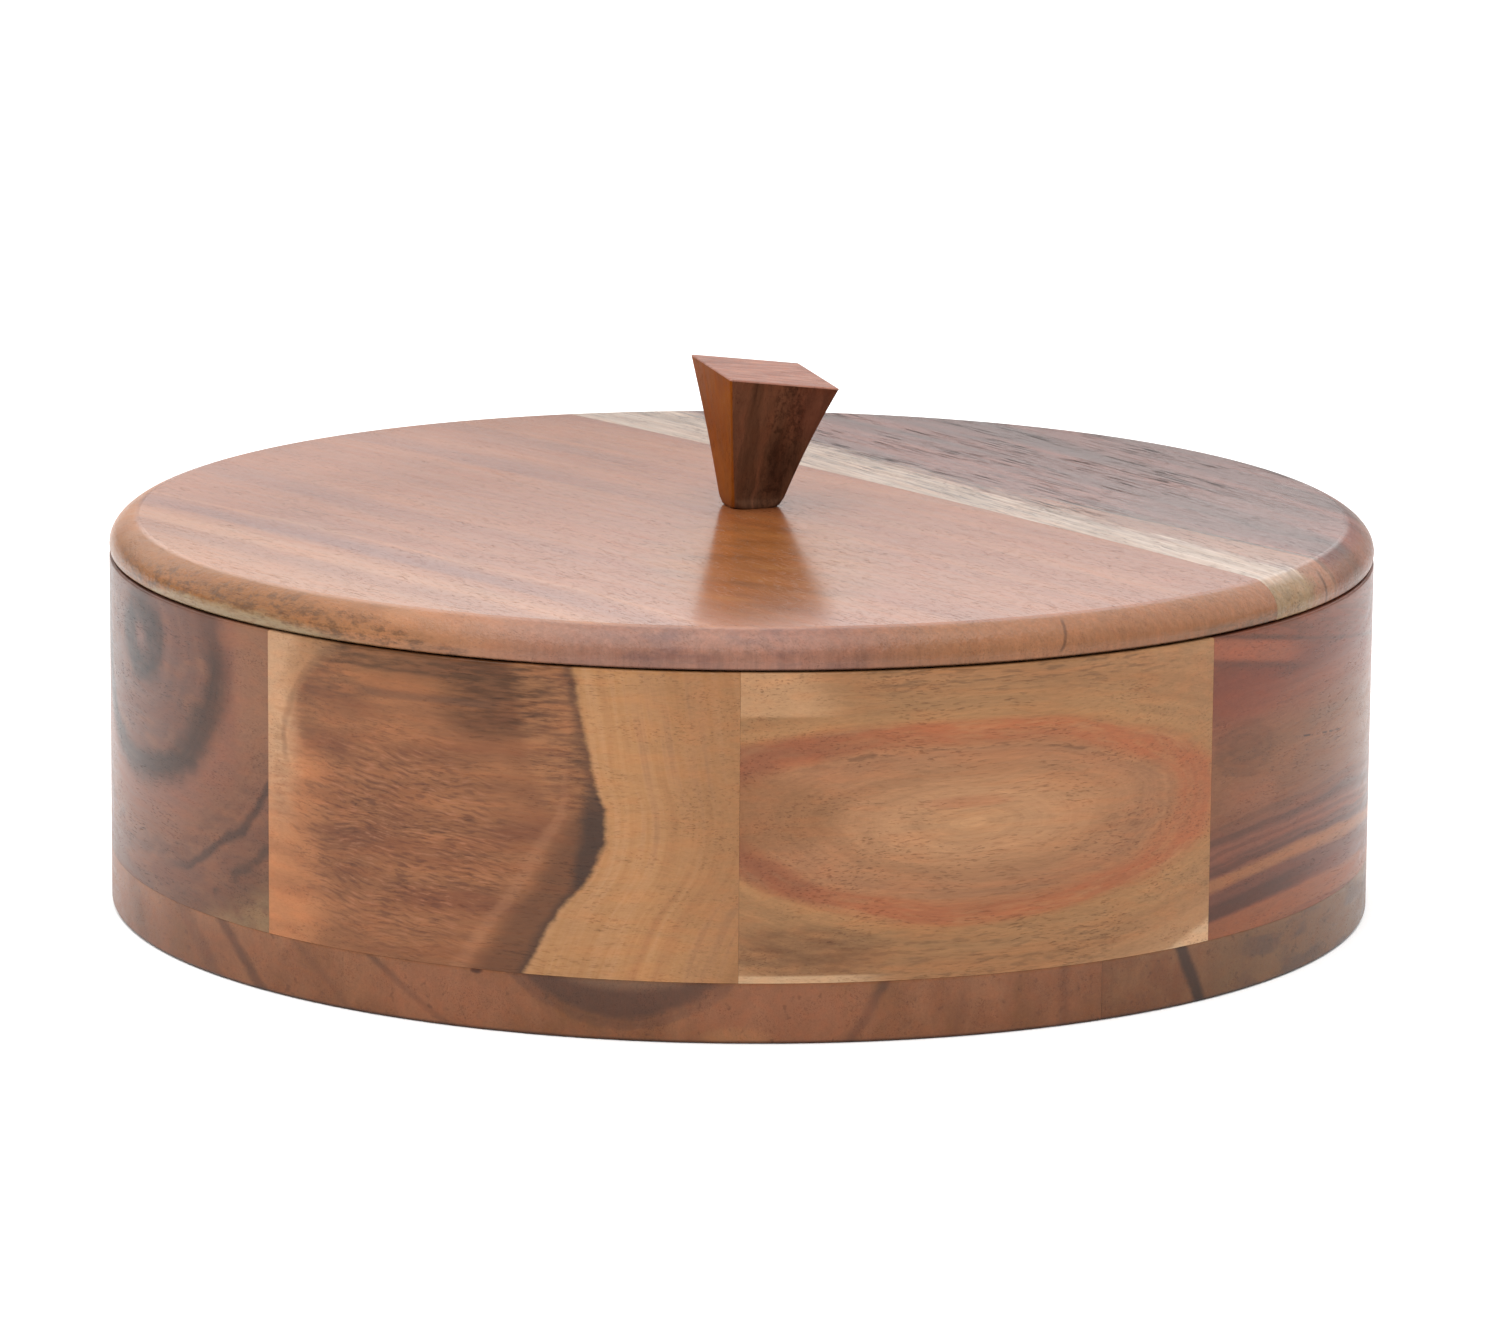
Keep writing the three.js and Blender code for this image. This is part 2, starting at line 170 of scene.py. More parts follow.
class Shader:
    """One material's node tree, with the place on the object in millimetres as x, y and z.

    colour is the surface's colour so far: shade, stain and paint change it.
    """

    def __init__(self, name):
        self.material = bpy.data.materials.new(name)
        self.material.use_nodes = True
        self.tree = self.material.node_tree
        self.tree.nodes.clear()
        self.seed = sum(map(ord, name)) % 97
        self.colour = linear("ffffff")
        place = self.node("ShaderNodeTexCoord").outputs["Object"]
        scaled = self.node("ShaderNodeVectorMath", operation="SCALE")
        self.tree.links.new(scaled.inputs[0], place)
        scaled.inputs["Scale"].default_value = 1000
        split = self.node("ShaderNodeSeparateXYZ")
        self.tree.links.new(split.inputs[0], scaled.outputs[0])
        self.x, self.y, self.z = (Value(self, socket) for socket in split.outputs)

    def node(self, kind, **settings):
        made = self.tree.nodes.new(kind)
        for name, setting in settings.items():
            setattr(made, name, setting)
        return made

    def feed(self, slot, value):
        if isinstance(value, Value):
            self.tree.links.new(slot, value.socket)
        else:
            slot.default_value = value

    def combine(self, x, y, z):
        node = self.node("ShaderNodeCombineXYZ")
        for slot, value in zip(node.inputs, (x, y, z)):
            self.feed(slot, value)
        return Value(self, node.outputs[0])

    def noise(self, u, v, w=0.0, detail=3, roughness=0.5, seed=0):
        """Noise around 0.5 with one bump per unit of u, v and w."""
        node = self.node("ShaderNodeTexNoise")
        self.feed(node.inputs["Vector"], self.combine(u, v, w + self.seed * 1.7 + seed * 3.1))
        node.inputs["Scale"].default_value = 1.0
        node.inputs["Detail"].default_value = detail
        node.inputs["Roughness"].default_value = roughness
        return Value(self, node.outputs[0])

    def mix(self, factor, first, second):
        """The colour first, turning into second as factor goes from 0 to 1."""
        node = self.node("ShaderNodeMix", data_type="RGBA")
        self.feed(node.inputs[0], factor)
        self.feed(node.inputs[6], first)
        self.feed(node.inputs[7], second)
        return Value(self, node.outputs[2])

    def ramp(self, value, *stops):
        """A colour from (place, code) stops along value."""
        node = self.node("ShaderNodeValToRGB")
        self.feed(node.inputs[0], value)
        elements = node.color_ramp.elements
        while len(elements) < len(stops):
            elements.new(0.5)
        for element, (place, code) in zip(elements, stops):
            element.position = place
            element.color = linear(code)
        return Value(self, node.outputs[0])

    def shade(self, factor):
        """Makes the colour brighter or darker by factor."""
        node = self.node("ShaderNodeVectorMath", operation="SCALE")
        self.feed(node.inputs[0], self.colour if isinstance(self.colour, Value) else self.colour[:3])
        self.feed(node.inputs["Scale"], factor)
        self.colour = Value(self, node.outputs[0])

    def stain(self, amount, factors):
        """Multiplies the colour's red, green and blue by factors, by amount from 0 to 1."""
        node = self.node("ShaderNodeVectorMath", operation="MULTIPLY")
        self.feed(node.inputs[0], self.colour)
        self.feed(node.inputs[1], factors)
        self.colour = self.mix(amount, self.colour, Value(self, node.outputs[0]))

    def paint(self, amount, code):
        """Lays another colour over the colour, by amount from 0 to 1."""
        self.colour = self.mix(amount, self.colour, linear(code))

    def reach(self, u, v, u_middle, v_middle):
        """The distance from a point."""
        across, up = u - u_middle, v - v_middle
        return (across * across + up * up).root()

    def spot(self, u, v, u_middle, v_middle, u_size, v_size):
        """A soft oval: 1 in the middle and 0 at its edge."""
        across, up = (u - u_middle) / u_size, (v - v_middle) / v_size
        return (across * across + up * up).step(1.0, 0.1)

    def curve(self, value, low, high, points):
        """A number read off a smooth curve through (value, number) points, from low to high."""
        first, last = points[0][0], points[-1][0]
        node = self.node("ShaderNodeFloatCurve")
        self.feed(node.inputs["Value"], (value - first) / (last - first))
        line = node.mapping.curves[0]
        while len(line.points) < len(points):
            line.points.new(0.5, 0.5)
        for point, (place, number) in zip(line.points, points):
            point.location = ((place - first) / (last - first), (number - low) / (high - low))
        node.mapping.update()
        return Value(self, node.outputs[0]) * (high - low) + low

    def surface(self, roughness, relief=None, depth=0.0, metallic=0.0, specular=0.5,
                coat=0.0, coat_roughness=0.1, anisotropy=0.0):
        """Ends the tree: a Principled surface with a bump of the given depth in millimetres."""
        bsdf = self.node("ShaderNodeBsdfPrincipled")
        self.feed(bsdf.inputs["Base Color"], self.colour)
        self.feed(bsdf.inputs["Roughness"], roughness)
        bsdf.inputs["Metallic"].default_value = metallic
        bsdf.inputs["IOR"].default_value = 1.5
        bsdf.inputs["Specular IOR Level"].default_value = specular
        self.feed(bsdf.inputs["Coat Weight"], coat)
        bsdf.inputs["Coat Roughness"].default_value = coat_roughness
        bsdf.inputs["Anisotropic"].default_value = anisotropy
        if relief is not None:
            bump = self.node("ShaderNodeBump")
            bump.inputs["Distance"].default_value = depth * MM
            bump.inputs["Strength"].default_value = 1.0
            self.feed(bump.inputs["Height"], relief)
            self.tree.links.new(bsdf.inputs["Normal"], bump.outputs[0])
            self.tree.links.new(bsdf.inputs["Coat Normal"], bump.outputs[0])
        output = self.node("ShaderNodeOutputMaterial")
        self.tree.links.new(output.inputs[0], bsdf.outputs[0])
        return self.material


# ---- Wood ----
def finished_wood(s, along, across, depth, grain=1.0, pores=0.5, pore_size=1.0, relief_depth=0.05,
                  coat=0.36, gloss=0.16, sawn=None, holes=None):
    """Adds what all acacia shows along its grain: streaks, fibres and short dark pores, under clear lacquer.

    sawn is 1 where the cut runs across the grain, so the lacquer sinks in and looks uneven. holes is 1 in
    pores so wide that the lacquer leaves them open.
    """
    sway = (s.noise(along / 15, across / 8, depth / 8, detail=1, seed=6) - 0.5) * 2.4
    across = across + sway
    streak = s.noise(along / 24, across / 1.9, depth / 1.9, seed=2)
    s.stain(streak.step(0.42, 0.66) * (0.42 * grain), (1.04, 0.85, 0.74))
    fine = s.noise(along / 6, across / 0.42, depth / 0.42, roughness=0.7, seed=1)
    cloudy = s.noise(s.x / 19, s.y / 19, s.z / 19, detail=2, seed=3)
    light = 1 + (fine - 0.5) * (0.5 * grain) + (streak - 0.5) * (0.34 * grain) + (cloudy - 0.5) * 0.26
    dash = s.noise(along / 4.4, across / 0.5, depth / 0.5, detail=2, seed=4)
    patch = s.noise(along / 13, across / 4.5, depth / 4.5, detail=2, seed=5).step(0.4, 0.66)
    slit = s.noise(along / (2.3 * pore_size), across / (0.23 * pore_size), depth / (0.23 * pore_size),
                   detail=1, seed=7)
    pore = slit.step(0.60, 0.70) * (patch * 0.7 + 0.3)
    s.shade(light * WOOD_GAIN)
    s.stain(dash.step(0.56, 0.72) * patch * pores, (0.55, 0.46, 0.42))
    s.stain(pore * pores, (0.38, 0.32, 0.30))
    relief = (fine - 0.5) * 0.3 - pore
    if sawn is not None:
        pits = s.noise(s.x / 0.9, s.y / 0.9, s.z / 0.9, roughness=0.6, seed=8)
        relief = relief + pits * sawn * 2.6
        coat = coat * (1 - sawn * 0.1)
    if holes is not None:
        relief = relief - holes
        coat = coat * (1 - holes * 0.75)
    rough = 0.42 + (streak - 0.5) * 0.3 + (fine - 0.5) * 0.2 + pore * 0.2
    return s.surface(rough, relief, depth=relief_depth, specular=0.02, coat=coat, coat_roughness=gloss)


def wall_shader(index):
    """A wall block's shader. arc is the place round the wall from the front, chord and deep its own axes."""
    s = Shader(f"wood_wall_{index + 1}")
    s.index = index
    turn = radians(360 / SEGMENTS * (index - 0.5))
    s.chord = s.x * cos(turn) + s.y * sin(turn)
    s.deep = s.y * cos(turn) - s.x * sin(turn)
    s.arc = s.x.math("ARCTAN2", s.y * -1) * (RADIUS / MM)
    s.local_arc = s.chord.math("ARCTAN2", s.deep * -1) * (RADIUS / MM)
    s.inward = (RADIUS / MM) - (s.x * s.x + s.y * s.y).root()
    return s


def sapwood_block(s):
    """The front left block: dashed red-brown heart, a dark mineral line and golden sapwood on the right."""
    arc, z = s.arc, s.z
    ragged = s.noise(z / 2.4, arc / 5, s.inward / 5, detail=4, roughness=0.65, seed=11) - 0.5
    drift = s.noise(arc / 17, z / 11, s.inward / 11, detail=2, seed=12) - 0.5
    tone = s.noise(arc / 20, z / 5, s.inward / 8, seed=13)
    strokes = s.noise(arc / 5.5, z / 0.8, s.inward / 4, roughness=0.6, seed=14).step(0.36, 0.68)
    s.colour = s.ramp(tone, (0.3, "814f34"), (0.5, "915d3c"), (0.7, "a46b45"))
    # A warm halo on the left, and pale wood outside it
    halo = (arc + drift * 9).step(-76, -88) * z.step(56, 40)
    s.paint(halo * (tone.step(0.35, 0.65) * 0.4 + 0.45), "c98455")
    corner = s.reach(arc, z, -70, 48) + drift * 5 + ragged * 1.5
    upper_left = arc.step(-71, -79) * z.step(40, 47)
    s.paint(corner.step(18, 20.5) * upper_left * 0.8, "b5855c")
    pale = (arc + drift * 5 + ragged * 2).step(-84.5, -91) * z.step(22, 50)
    s.paint(pale * (0.9 - strokes * 0.35), "cd9f78")
    s.paint(corner.step(24, 27) * upper_left * 0.7, "cb9e77")
    s.paint(corner.band(20, 0.2, 1.2) * upper_left * 0.4, "7a5238")
    # Grey strokes along the fibres, gathered at the top and on both sides
    top_band = z.step(60.5, 64) * (arc + 58).band(0, 18, 10)
    s.paint(top_band * (strokes * 0.5 + 0.35), "5a3b22")
    s.paint(s.spot(arc, z, -44, 60, 15, 9) * (strokes * 0.45 + 0.4), "4f2f17")
    s.paint(s.spot(arc, z, -78, 59.5, 9, 5) * strokes * 0.6, "5e402c")
    s.paint(s.spot(arc, z, -83.5, 53, 4, 8) * strokes * 0.45, "6d4a33")
    s.paint(s.spot(arc, z, -91, 42, 2, 14) * strokes * 0.3, "7d573d")
    s.paint((z - 59 + drift).band(0, 0.3, 0.8) * (arc + 58).band(0, 10, 8) * 0.55, "684835")
    s.paint((z - 61.6 + drift).band(0, 0.8, 1.2) * (arc + 65).band(0, 8, 9) * 0.35, "b07448")
    # Fine dark dashes over the middle of the heart
    middle = s.spot(arc, z, -64, 33, 30, 27)
    dashes = s.noise(arc / 3.4, (z + arc * 0.1 + drift * 6) / 0.5, s.inward / 3, seed=15)
    s.paint(dashes.step(0.50, 0.64) * middle * 0.62, "643d2c")
    s.paint(dashes.step(0.46, 0.32) * middle * 0.5, "b3795a")
    # The mineral line, the brown wood that shades into it, and the combed wood above
    edge = s.curve(z, -60, 0, [(11, -38.5), (18, -35), (22.5, -32.3), (27, -28.5), (31, -25.6), (41, -23.8),
                               (47, -25.8), (58, -28.2), (67, -30)])
    past = arc - edge + ragged * 2.6 - s.inward * 0.35
    width = s.curve(z, 0, 20, [(11, 11), (22, 9), (32, 9.5), (41, 6.5), (50, 4), (58, 2), (67, 1.5)])
    share = (past + drift * 2.5) / width + 1
    s.paint(share.band(-0.22, 0.05, 0.2) * z.step(52, 40) * 0.35, "b07a57")
    s.paint(share.step(-0.15, 0.35) * 0.85, "6f472e")
    comb = (arc - edge + 6).band(0, 3.5, 3.5) * z.step(37, 44)
    s.paint(comb * (1 - strokes) * 0.55, "b27a50")
    gathered = s.noise(arc / 4, z / 5, s.inward / 4, detail=2, seed=17).step(0.32, 0.62)
    s.paint(comb * strokes * gathered * 0.36, "664835")
    deep = s.spot(arc, z, -27, 36, 9, 10) * 2.4 - z.step(31, 25) * 0.9
    black = (past + deep).step(-3.4, -0.4) * (z.step(48, 42) * 0.6 + 0.3)
    s.paint(black * 0.85, "3b2d26")
    streaks = s.noise((arc - edge * 0.75) / 2.4, z / 40, s.inward / 3, roughness=0.6, seed=16)
    heart = s.colour
    s.colour = s.ramp(streaks, (0.3, "b07c50"), (0.48, "bc8858"), (0.62, "c28e60"), (0.8, "c9986b"))
    s.paint((arc + z * 0.15).step(-16, 4) * 0.5, "94643f")
    s.paint(streaks.step(0.55, 0.7) * (arc + z * 0.25).band(0, 5, 6) * 0.4, "8e613f")
    s.colour = s.mix(past.step(-0.7, 0.8), heart, s.colour)


def ringed_block(s, arc, stops, ring_code, slant):
    """A flat-sawn block whose turned face cuts its growth layers in ovals, one of them a coloured ring."""
    z = s.z
    wavy = s.noise(arc / 24, z / 7, s.inward / 8, seed=21) - 0.5
    left = (arc * -1 / 42).above(0)
    height = (z - 38.9 - left * left * slant) / 16.6
    side = arc / 48.8
    cut = s.inward.above(0) / 14
    oval = (side * side + height * height + cut * cut).root() + wavy * 0.16
    s.colour = s.ramp(oval / 2.6, *stops)
    layers = s.noise(oval * 11, arc / 60, s.inward / 20, detail=4, roughness=0.75, seed=23)
    s.shade(1 + (layers - 0.5) * 0.7)
    broken = s.noise(arc / 7, oval * 16, 0.0, seed=24)
    ring = oval.band(0.995, 0.05, 0.12) * (0.4 + broken.step(0.3, 0.6) * 0.5)
    s.paint(ring, ring_code)
    s.paint(oval.band(1.05, 0.01, 0.05) * broken.step(0.55, 0.3) * 0.14, "d29a70")
    dashed = s.noise(arc / 4, z / 1.0, 0.0, detail=2, seed=25).step(0.45, 0.6)
    inner = oval.band(0.835, 0.008, 0.035) * (height.step(0.4, 0.8) * 0.75 + 0.15)
    s.paint(inner * dashed * 0.65, "68452f")
    return oval


def front_right_block(s):
    """The front right block: tan ovals round a pale middle, with one red ring."""
    arc, z = s.arc, s.z
    stops = ((0.0, "c49266"), (0.1, "bd8b62"), (0.2, "b07d56"), (0.3, "a4714e"), (0.36, "ab764f"),
             (0.42, "ad7b4f"), (0.5, "a5784f"), (0.62, "a4744c"), (0.8, "b3865d"))
    oval = ringed_block(s, arc - 42, stops, "aa6440", 2.9)
    smoke = s.noise(arc / 7, z / 1.6, s.inward / 4, detail=4, roughness=0.65, seed=27)
    s.paint(oval.band(1.0, 0.05, 0.1) * (s.spot(arc, z, 2, 42, 30, 26) * 0.5), "7b4a34")
    s.paint(s.spot(arc, z, 41, 42.6, 11, 1.4) * 0.5, "b87550")
    s.paint(s.spot(arc, z, 73, 36.2, 5, 2.2) * smoke.step(0.4, 0.6) * 0.5, "8a5c3f")
    s.paint(s.spot(arc, z, 5, 41.5, 17, 9) * 0.5, "865933")
    flecks = s.noise(arc / 4.5, z / 0.75, s.inward / 2, detail=2, seed=26).step(0.5, 0.66)
    high = z.step(60, 65) * (arc.band(54, 22, 18) + arc.band(6, 5, 4) * 0.5)
    s.paint((high * flecks).below(1) * 0.5, "664932")
    low = z.step(21, 18) * arc.band(44, 20, 14)
    s.paint(low * flecks * 0.4, "6e4d33")
    ledge = z.step(58.6, 59.4) * (arc + z * 0.5).step(52, 40)
    s.paint(ledge * 0.55, "d2a276")
    patch = s.spot(arc, z, 12, 16.5, 17, 6) * (0.25 + smoke.step(0.3, 0.7) * 0.45)
    s.paint(patch, "65432a")
    outer = (arc * 0.35 - z).step(8, 20) * oval.step(1.12, 1.25)
    s.paint(outer * 0.4, "c0936a")
    tip = (arc * 0.4 - z + (smoke - 0.5) * 2).step(21.6, 23.4)
    s.paint(tip * 0.8, "dcb48c")
    sliver = z.step(12.6, 12.1) * arc.step(30, 16)
    s.paint(sliver * 0.7, "dcb58c")


def eye_block(s, arc, z, squash=1.3):
    """A dark block with an eye: shells about a knot just under the surface."""
    wavy = s.noise(arc / 13, z / 11, s.inward / 10, seed=31) - 0.5
    side = arc / squash
    reach = (side * side + z * z + s.inward * s.inward).root() + wavy * 5.5
    smoky = s.noise(arc / 5, z / 4, s.inward / 5, roughness=0.6, seed=36) - 0.5
    s.colour = s.ramp(reach / 70, (0.0, "84594c"), (0.06, "7a4f40"), (0.16, "775041"), (0.27, "754d3c"),
                      (0.36, "734a39"), (0.42, "895843"), (0.52, "865840"), (0.62, "784f3c"),
                      (0.75, "704b37"), (0.85, "7f593f"))
    layers = s.noise(reach / 2.4, side / 70, z / 70, detail=4, roughness=0.75, seed=32)
    s.shade(1 + (layers - 0.5) * 0.42)
    warm = s.noise(arc / 12, z / 4, s.inward / 6, seed=33)
    s.paint(warm.step(0.48, 0.72) * 0.45, "925f42")
    pupil = (reach + smoky * 4).band(5.4, 1.2, 4.2) * (0.82 + smoky * 1.2)
    s.paint(pupil.below(1), "30211a")
    fading = z.step(10, -2) * 0.75 + 0.25
    s.paint((reach + smoky * 2.5).band(24.0, 0.8, 3.8) * fading * (0.75 + (layers - 0.5)), "3a271c")
    faint = (reach + smoky * 2).band(13.4, 0.2, 1.8) + (reach + smoky * 2).band(17.2, 0.2, 1.6)
    s.paint(faint * warm.step(0.35, 0.6) * 0.28, "543f3a")
    blotch = s.noise(arc / 6, z / 3, 0.0, seed=35).step(0.42, 0.62)
    s.paint(reach.band(38.5, 0.6, 3.2) * blotch * 0.32, "4b3329")
    s.paint(reach.band(41.6, 0.2, 1.1) * side.step(6, 20) * 0.7, "3f2d26")
    s.paint(reach.band(47.5, 0.2, 1.6) * blotch * side.step(6, 24) * 0.6, "46342a")
    return reach


def left_block(s):
    """The left block: the eye sits high up, and a pale corner shows at its lower right."""
    reach = eye_block(s, s.arc + 141, s.z - 58)
    olive = s.noise(s.arc / 4, s.z / 3, s.inward / 4, detail=4, seed=34)
    s.paint(reach.step(49, 56) * (0.2 + olive.step(0.3, 0.65) * 0.45), "a07f59")
    s.paint(s.arc.step(-106, -101) * s.z.step(36, 50) * 0.5, "9a6c4e")


def striped_block(s, arc, stops, bands, bow):
    """A rift-sawn block: stripes in a slight bow. A band is (height, half, soft, strength, code)."""
    wavy = s.noise(arc / 30, s.z / 10, s.inward / 10, seed=41) - 0.5
    level = s.z + arc * arc * bow + wavy * 3.5 + s.inward * 0.25
    s.colour = s.ramp(level / 80, *stops)
    lines = s.noise(arc / 45, level / 0.9, s.inward / 12, detail=4, roughness=0.7, seed=42)
    broad = s.noise(arc / 60, level / 4, s.inward / 20, seed=43)
    s.shade(1 + (lines - 0.5) * 0.55 + (broad - 0.5) * 0.45)
    for height, half, soft, strength, code in bands:
        ragged = (lines - 0.5) * 1.4
        s.paint((level + ragged).band(height, half, soft) * strength, code)
    return level


def right_block(s):
    """The right block: purple-brown with two orange stripes low down and a red patch high up."""
    arc = s.arc - 130
    stops = ((0.1, "844f34"), (0.2, "804a36"), (0.26, "724536"), (0.38, "794c3b"), (0.46, "87573b"),
             (0.58, "84563a"), (0.66, "875039"), (0.74, "784332"), (0.84, "804a36"))
    bands = ((22.9, 0.5, 1.1, 0.6, "b27549"), (24.9, 0.15, 0.6, 0.6, "57382c"),
             (20.6, 0.4, 1.0, 0.3, "694434"), (14.2, 1.9, 0.9, 0.6, "a0603c"),
             (27.2, 0.1, 0.5, 0.4, "9a5e47"), (28.9, 0.1, 0.5, 0.4, "9a5e47"),
             (26.2, 0.1, 0.4, 0.4, "58392d"), (30.8, 0.3, 0.9, 0.5, "55392e"),
             (33.4, 0.2, 0.6, 0.3, "5c3e2f"))
    level = striped_block(s, arc, stops, bands, 0.0018)
    dark = level.band(18.3, 0.9, 1.2) * s.arc.step(142, 112)
    s.paint(dark * 0.75, "4c3329")
    # A red wedge and dark lines that fall to the right along the top
    fall = s.z + (s.arc - 95) * 0.16
    streaky = s.noise(s.arc / 12, fall / 0.8, 0.0, seed=46)
    s.paint(fall.band(64.6, 1.2, 1.4) * s.arc.step(128, 112) * 0.6, "ab6346")
    s.paint(fall.band(62.0, 0.1, 0.9) * s.arc.step(135, 118) * 0.4, "5e4034")
    s.paint(fall.band(67.0, 0.05, 0.6) * 0.45, "553b30")
    s.paint(fall.step(65, 68) * streaky.step(0.45, 0.6) * 0.4, "5a3e2f")
    s.paint(s.spot(s.arc, s.z, 104, 55, 15, 6) * 0.5, "854430")
    s.paint(s.spot(s.arc, s.z, 106, 36, 12, 4) * 0.35, "a06448")
    ring = s.reach(s.arc / 1.8, s.z, 104 / 1.8, 45) + (streaky - 0.5) * 3.5
    s.paint(ring.step(6.5, 2) * 0.35, "67412f")
    s.paint((ring.band(4.4, 0.2, 0.8) + ring.band(2.2, 0.2, 0.8)) * 0.2, "523527")
    gaps = s.noise(s.arc / 2.2, s.z / 2, 0.0, detail=2, seed=45).step(0.45, 0.6)
    split = (s.z - 43.4 + (s.arc - 130) * 0.11).band(0, 0.05, 0.25) * s.arc.band(131, 7, 6)
    s.paint(split * gaps * 0.8, "332017")


def back_block(s):
    """The four blocks that face away: the same wood, with stripes, ovals or an eye of their own."""
    arc = s.local_arc
    if s.index == 3:
        stops = ((0.1, "a87a52"), (0.3, "b1825a"), (0.5, "a06f4b"), (0.65, "ae7b52"), (0.85, "b88a60"))
        bands = ((27, 1.6, 1.2, 0.7, "7b5039"), (33.5, 0.5, 0.8, 0.5, "6b4533"), (48, 2.4, 2, 0.5, "96603f"),
                 (57.5, 0.5, 0.8, 0.5, "6e4936"))
        striped_block(s, arc, stops, bands, 0.0022)
    elif s.index == 4:
        stops = ((0.0, "a7714b"), (0.15, "b27c54"), (0.3, "a06a46"), (0.42, "8f5d40"), (0.55, "a5714c"),
                 (0.75, "b48559"))
        ringed_block(s, arc + 9, stops, "8a4f36", 1.0)
    elif s.index == 5:
        stops = ((0.1, "7d5646"), (0.3, "8d644d"), (0.5, "7b5545"), (0.7, "946a50"), (0.9, "a37a58"))
        bands = ((21, 0.6, 0.9, 0.6, "4d3931"), (38, 1.2, 1.0, 0.6, "b07f59"),
                 (41.5, 0.4, 0.6, 0.5, "533d34"), (55, 3, 2.5, 0.45, "684739"))
        striped_block(s, arc, stops, bands, -0.0014)
    else:
        eye_block(s, arc - 18, s.z - 24, squash=1.6)
        s.paint((arc + s.z * 0.2).step(-20, -27) * 0.9, "bb8b60")


def wall_wood(index):
    """A wall block's finished material. The four blocks in front are drawn one by one."""
    s = wall_shader(index)
    front = {0: (sapwood_block, 0.8, 0.4), 1: (front_right_block, 0.9, 0.5), 2: (right_block, 0.9, 0.5),
             7: (left_block, 0.9, 0.55)}
    draw, grain, pores = front.get(index, (back_block, 1.0, 0.5))
    draw(s)
    return finished_wood(s, s.chord, s.z, s.deep, grain, pores)


def base_shader(name, tones):
    """A base board's shader and plain colour. The grain runs back, so the rim's front cuts the layers."""
    s = Shader(name)
    s.bend = (s.noise(s.x / 9, s.y / 60, s.z / 4, detail=4, roughness=0.6, seed=51) - 0.5) * 3.4
    tone = s.noise((s.x + s.bend) / 7, s.y / 200, s.z / 12, seed=52)
    s.colour = s.ramp(tone, (0.3, tones[0]), (0.5, tones[1]), (0.7, tones[2]))
    lines = s.noise((s.x + s.bend) / 0.8, s.y / 60, s.z / 3, detail=4, roughness=0.7, seed=53)
    s.specks = s.noise(s.x / 1.3, s.y / 14, s.z / 1.6, detail=2, seed=54).step(0.62, 0.75)
    s.shade(1 + (lines - 0.5) * 0.36)
    return s


def base_wide_wood():
    s = base_shader("wood_base_wide", ("835535", "8e5b3d", "986545"))
    # The dark heart, and growth lines that lean to both sides of it: x at mid height, lean, half, strength
    heart = s.reach(s.x, s.z, -20.6, 30.2) + s.bend * 0.8
    s.paint(heart.step(27.8, 25.0) * 0.8, "51382e")
    s.paint(s.spot(s.x, s.z, -20, 12, 14, 3.6) * 0.7, "85624a")
    s.paint(heart.band(27.4, 0.3, 0.7) * 0.3, "4b3832")
    lines = ((-59.5, -1.3, 0.5, 0.5), (-90.5, -0.7, 0.7, 0.65), (-99, -0.6, 1.4, 0.35),
             (23.2, 0.58, 0.5, 0.6), (58, 0.0, 0.4, 0.25), (-75, -1.0, 0.3, 0.2), (40, 0.2, 0.4, 0.15),
             (-112, -0.3, 1.2, 0.4))
    front = s.y.step(-20, -100)
    for middle, lean, half, strength in lines:
        place = s.x - (s.z - 6) * lean + s.bend * 0.6
        s.paint(place.band(middle, half * 0.5, 1.6) * (front * 0.65 + 0.35) * strength, "4c3429")
    s.paint(s.spot(s.x, s.z, 0, 0.8, 8, 2.8) * front * 0.5, "b88354")
    s.paint(s.spot(s.x, s.z, 9, 5, 22, 8) * front * 0.4, "a86c4e")
    s.paint(s.spot(s.x, s.z, -52, 5, 16, 8) * front * 0.35, "a86c4e")
    s.paint(s.spot(s.x, s.z, -46.5, 10.8, 1.4, 0.8) * front * 0.8, "40231b")
    s.paint(s.specks * 0.4, "4e3527")
    s.paint(s.x.step(20, 60) * 0.25, "7c4f39")
    # Painted shade: the lowest 0.8 mm is darkened as a contact shadow where the base meets the floor
    s.paint(s.z.step(0.8, 0.3) * 0.6, "3a281f")
    return finished_wood(s, s.y, s.x, s.z, grain=0.8, pores=0.4)


def base_narrow_wood():
    s = base_shader("wood_base_narrow", ("774b32", "805338", "895e40"))
    place = s.x + (s.z - 6) * 0.35 + s.bend * 0.4
    s.paint((s.x - 74).step(6, 14) * 0.6, "7d5e43")
    s.paint(place.band(81.4, 0.5, 1.3) * 0.85, "3c2d27")
    grey = s.noise(s.x / 7, s.y / 30, s.z / 4, seed=55)
    s.paint(grey.step(0.48, 0.66) * s.x.step(88, 96) * 0.6, "5a463e")
    s.paint(s.specks * 0.4, "463128")
    # Painted shade: the lowest 0.8 mm is darkened as a contact shadow where the base meets the floor
    s.paint(s.z.step(0.8, 0.3) * 0.6, "3a281f")
    return finished_wood(s, s.y, s.x, s.z, grain=0.8, pores=0.4)


def lid_shader(name, angle):
    """A lid board's shader. The grain runs at angle: along goes with it, and n across it from the centre.

    down is the depth below the crowned top, and sawn is 1 on the rim, where the cut crosses the grain.
    """
    s = Shader(name)
    s.n = s.x * sin(angle) + s.y * -cos(angle)
    s.along = s.x * cos(angle) + s.y * sin(angle)
    reach = (s.x * s.x + s.y * s.y).root()
    part = reach * (MM / LID_RIDGE)
    s.down = (LID_TOP / MM) - part * part * (LID_CROWN / MM) - s.z
    s.sawn = s.down.step(0.0, 0.35) * reach.step(RABBET_RADIUS / MM - 0.8, RABBET_RADIUS / MM)
    return s


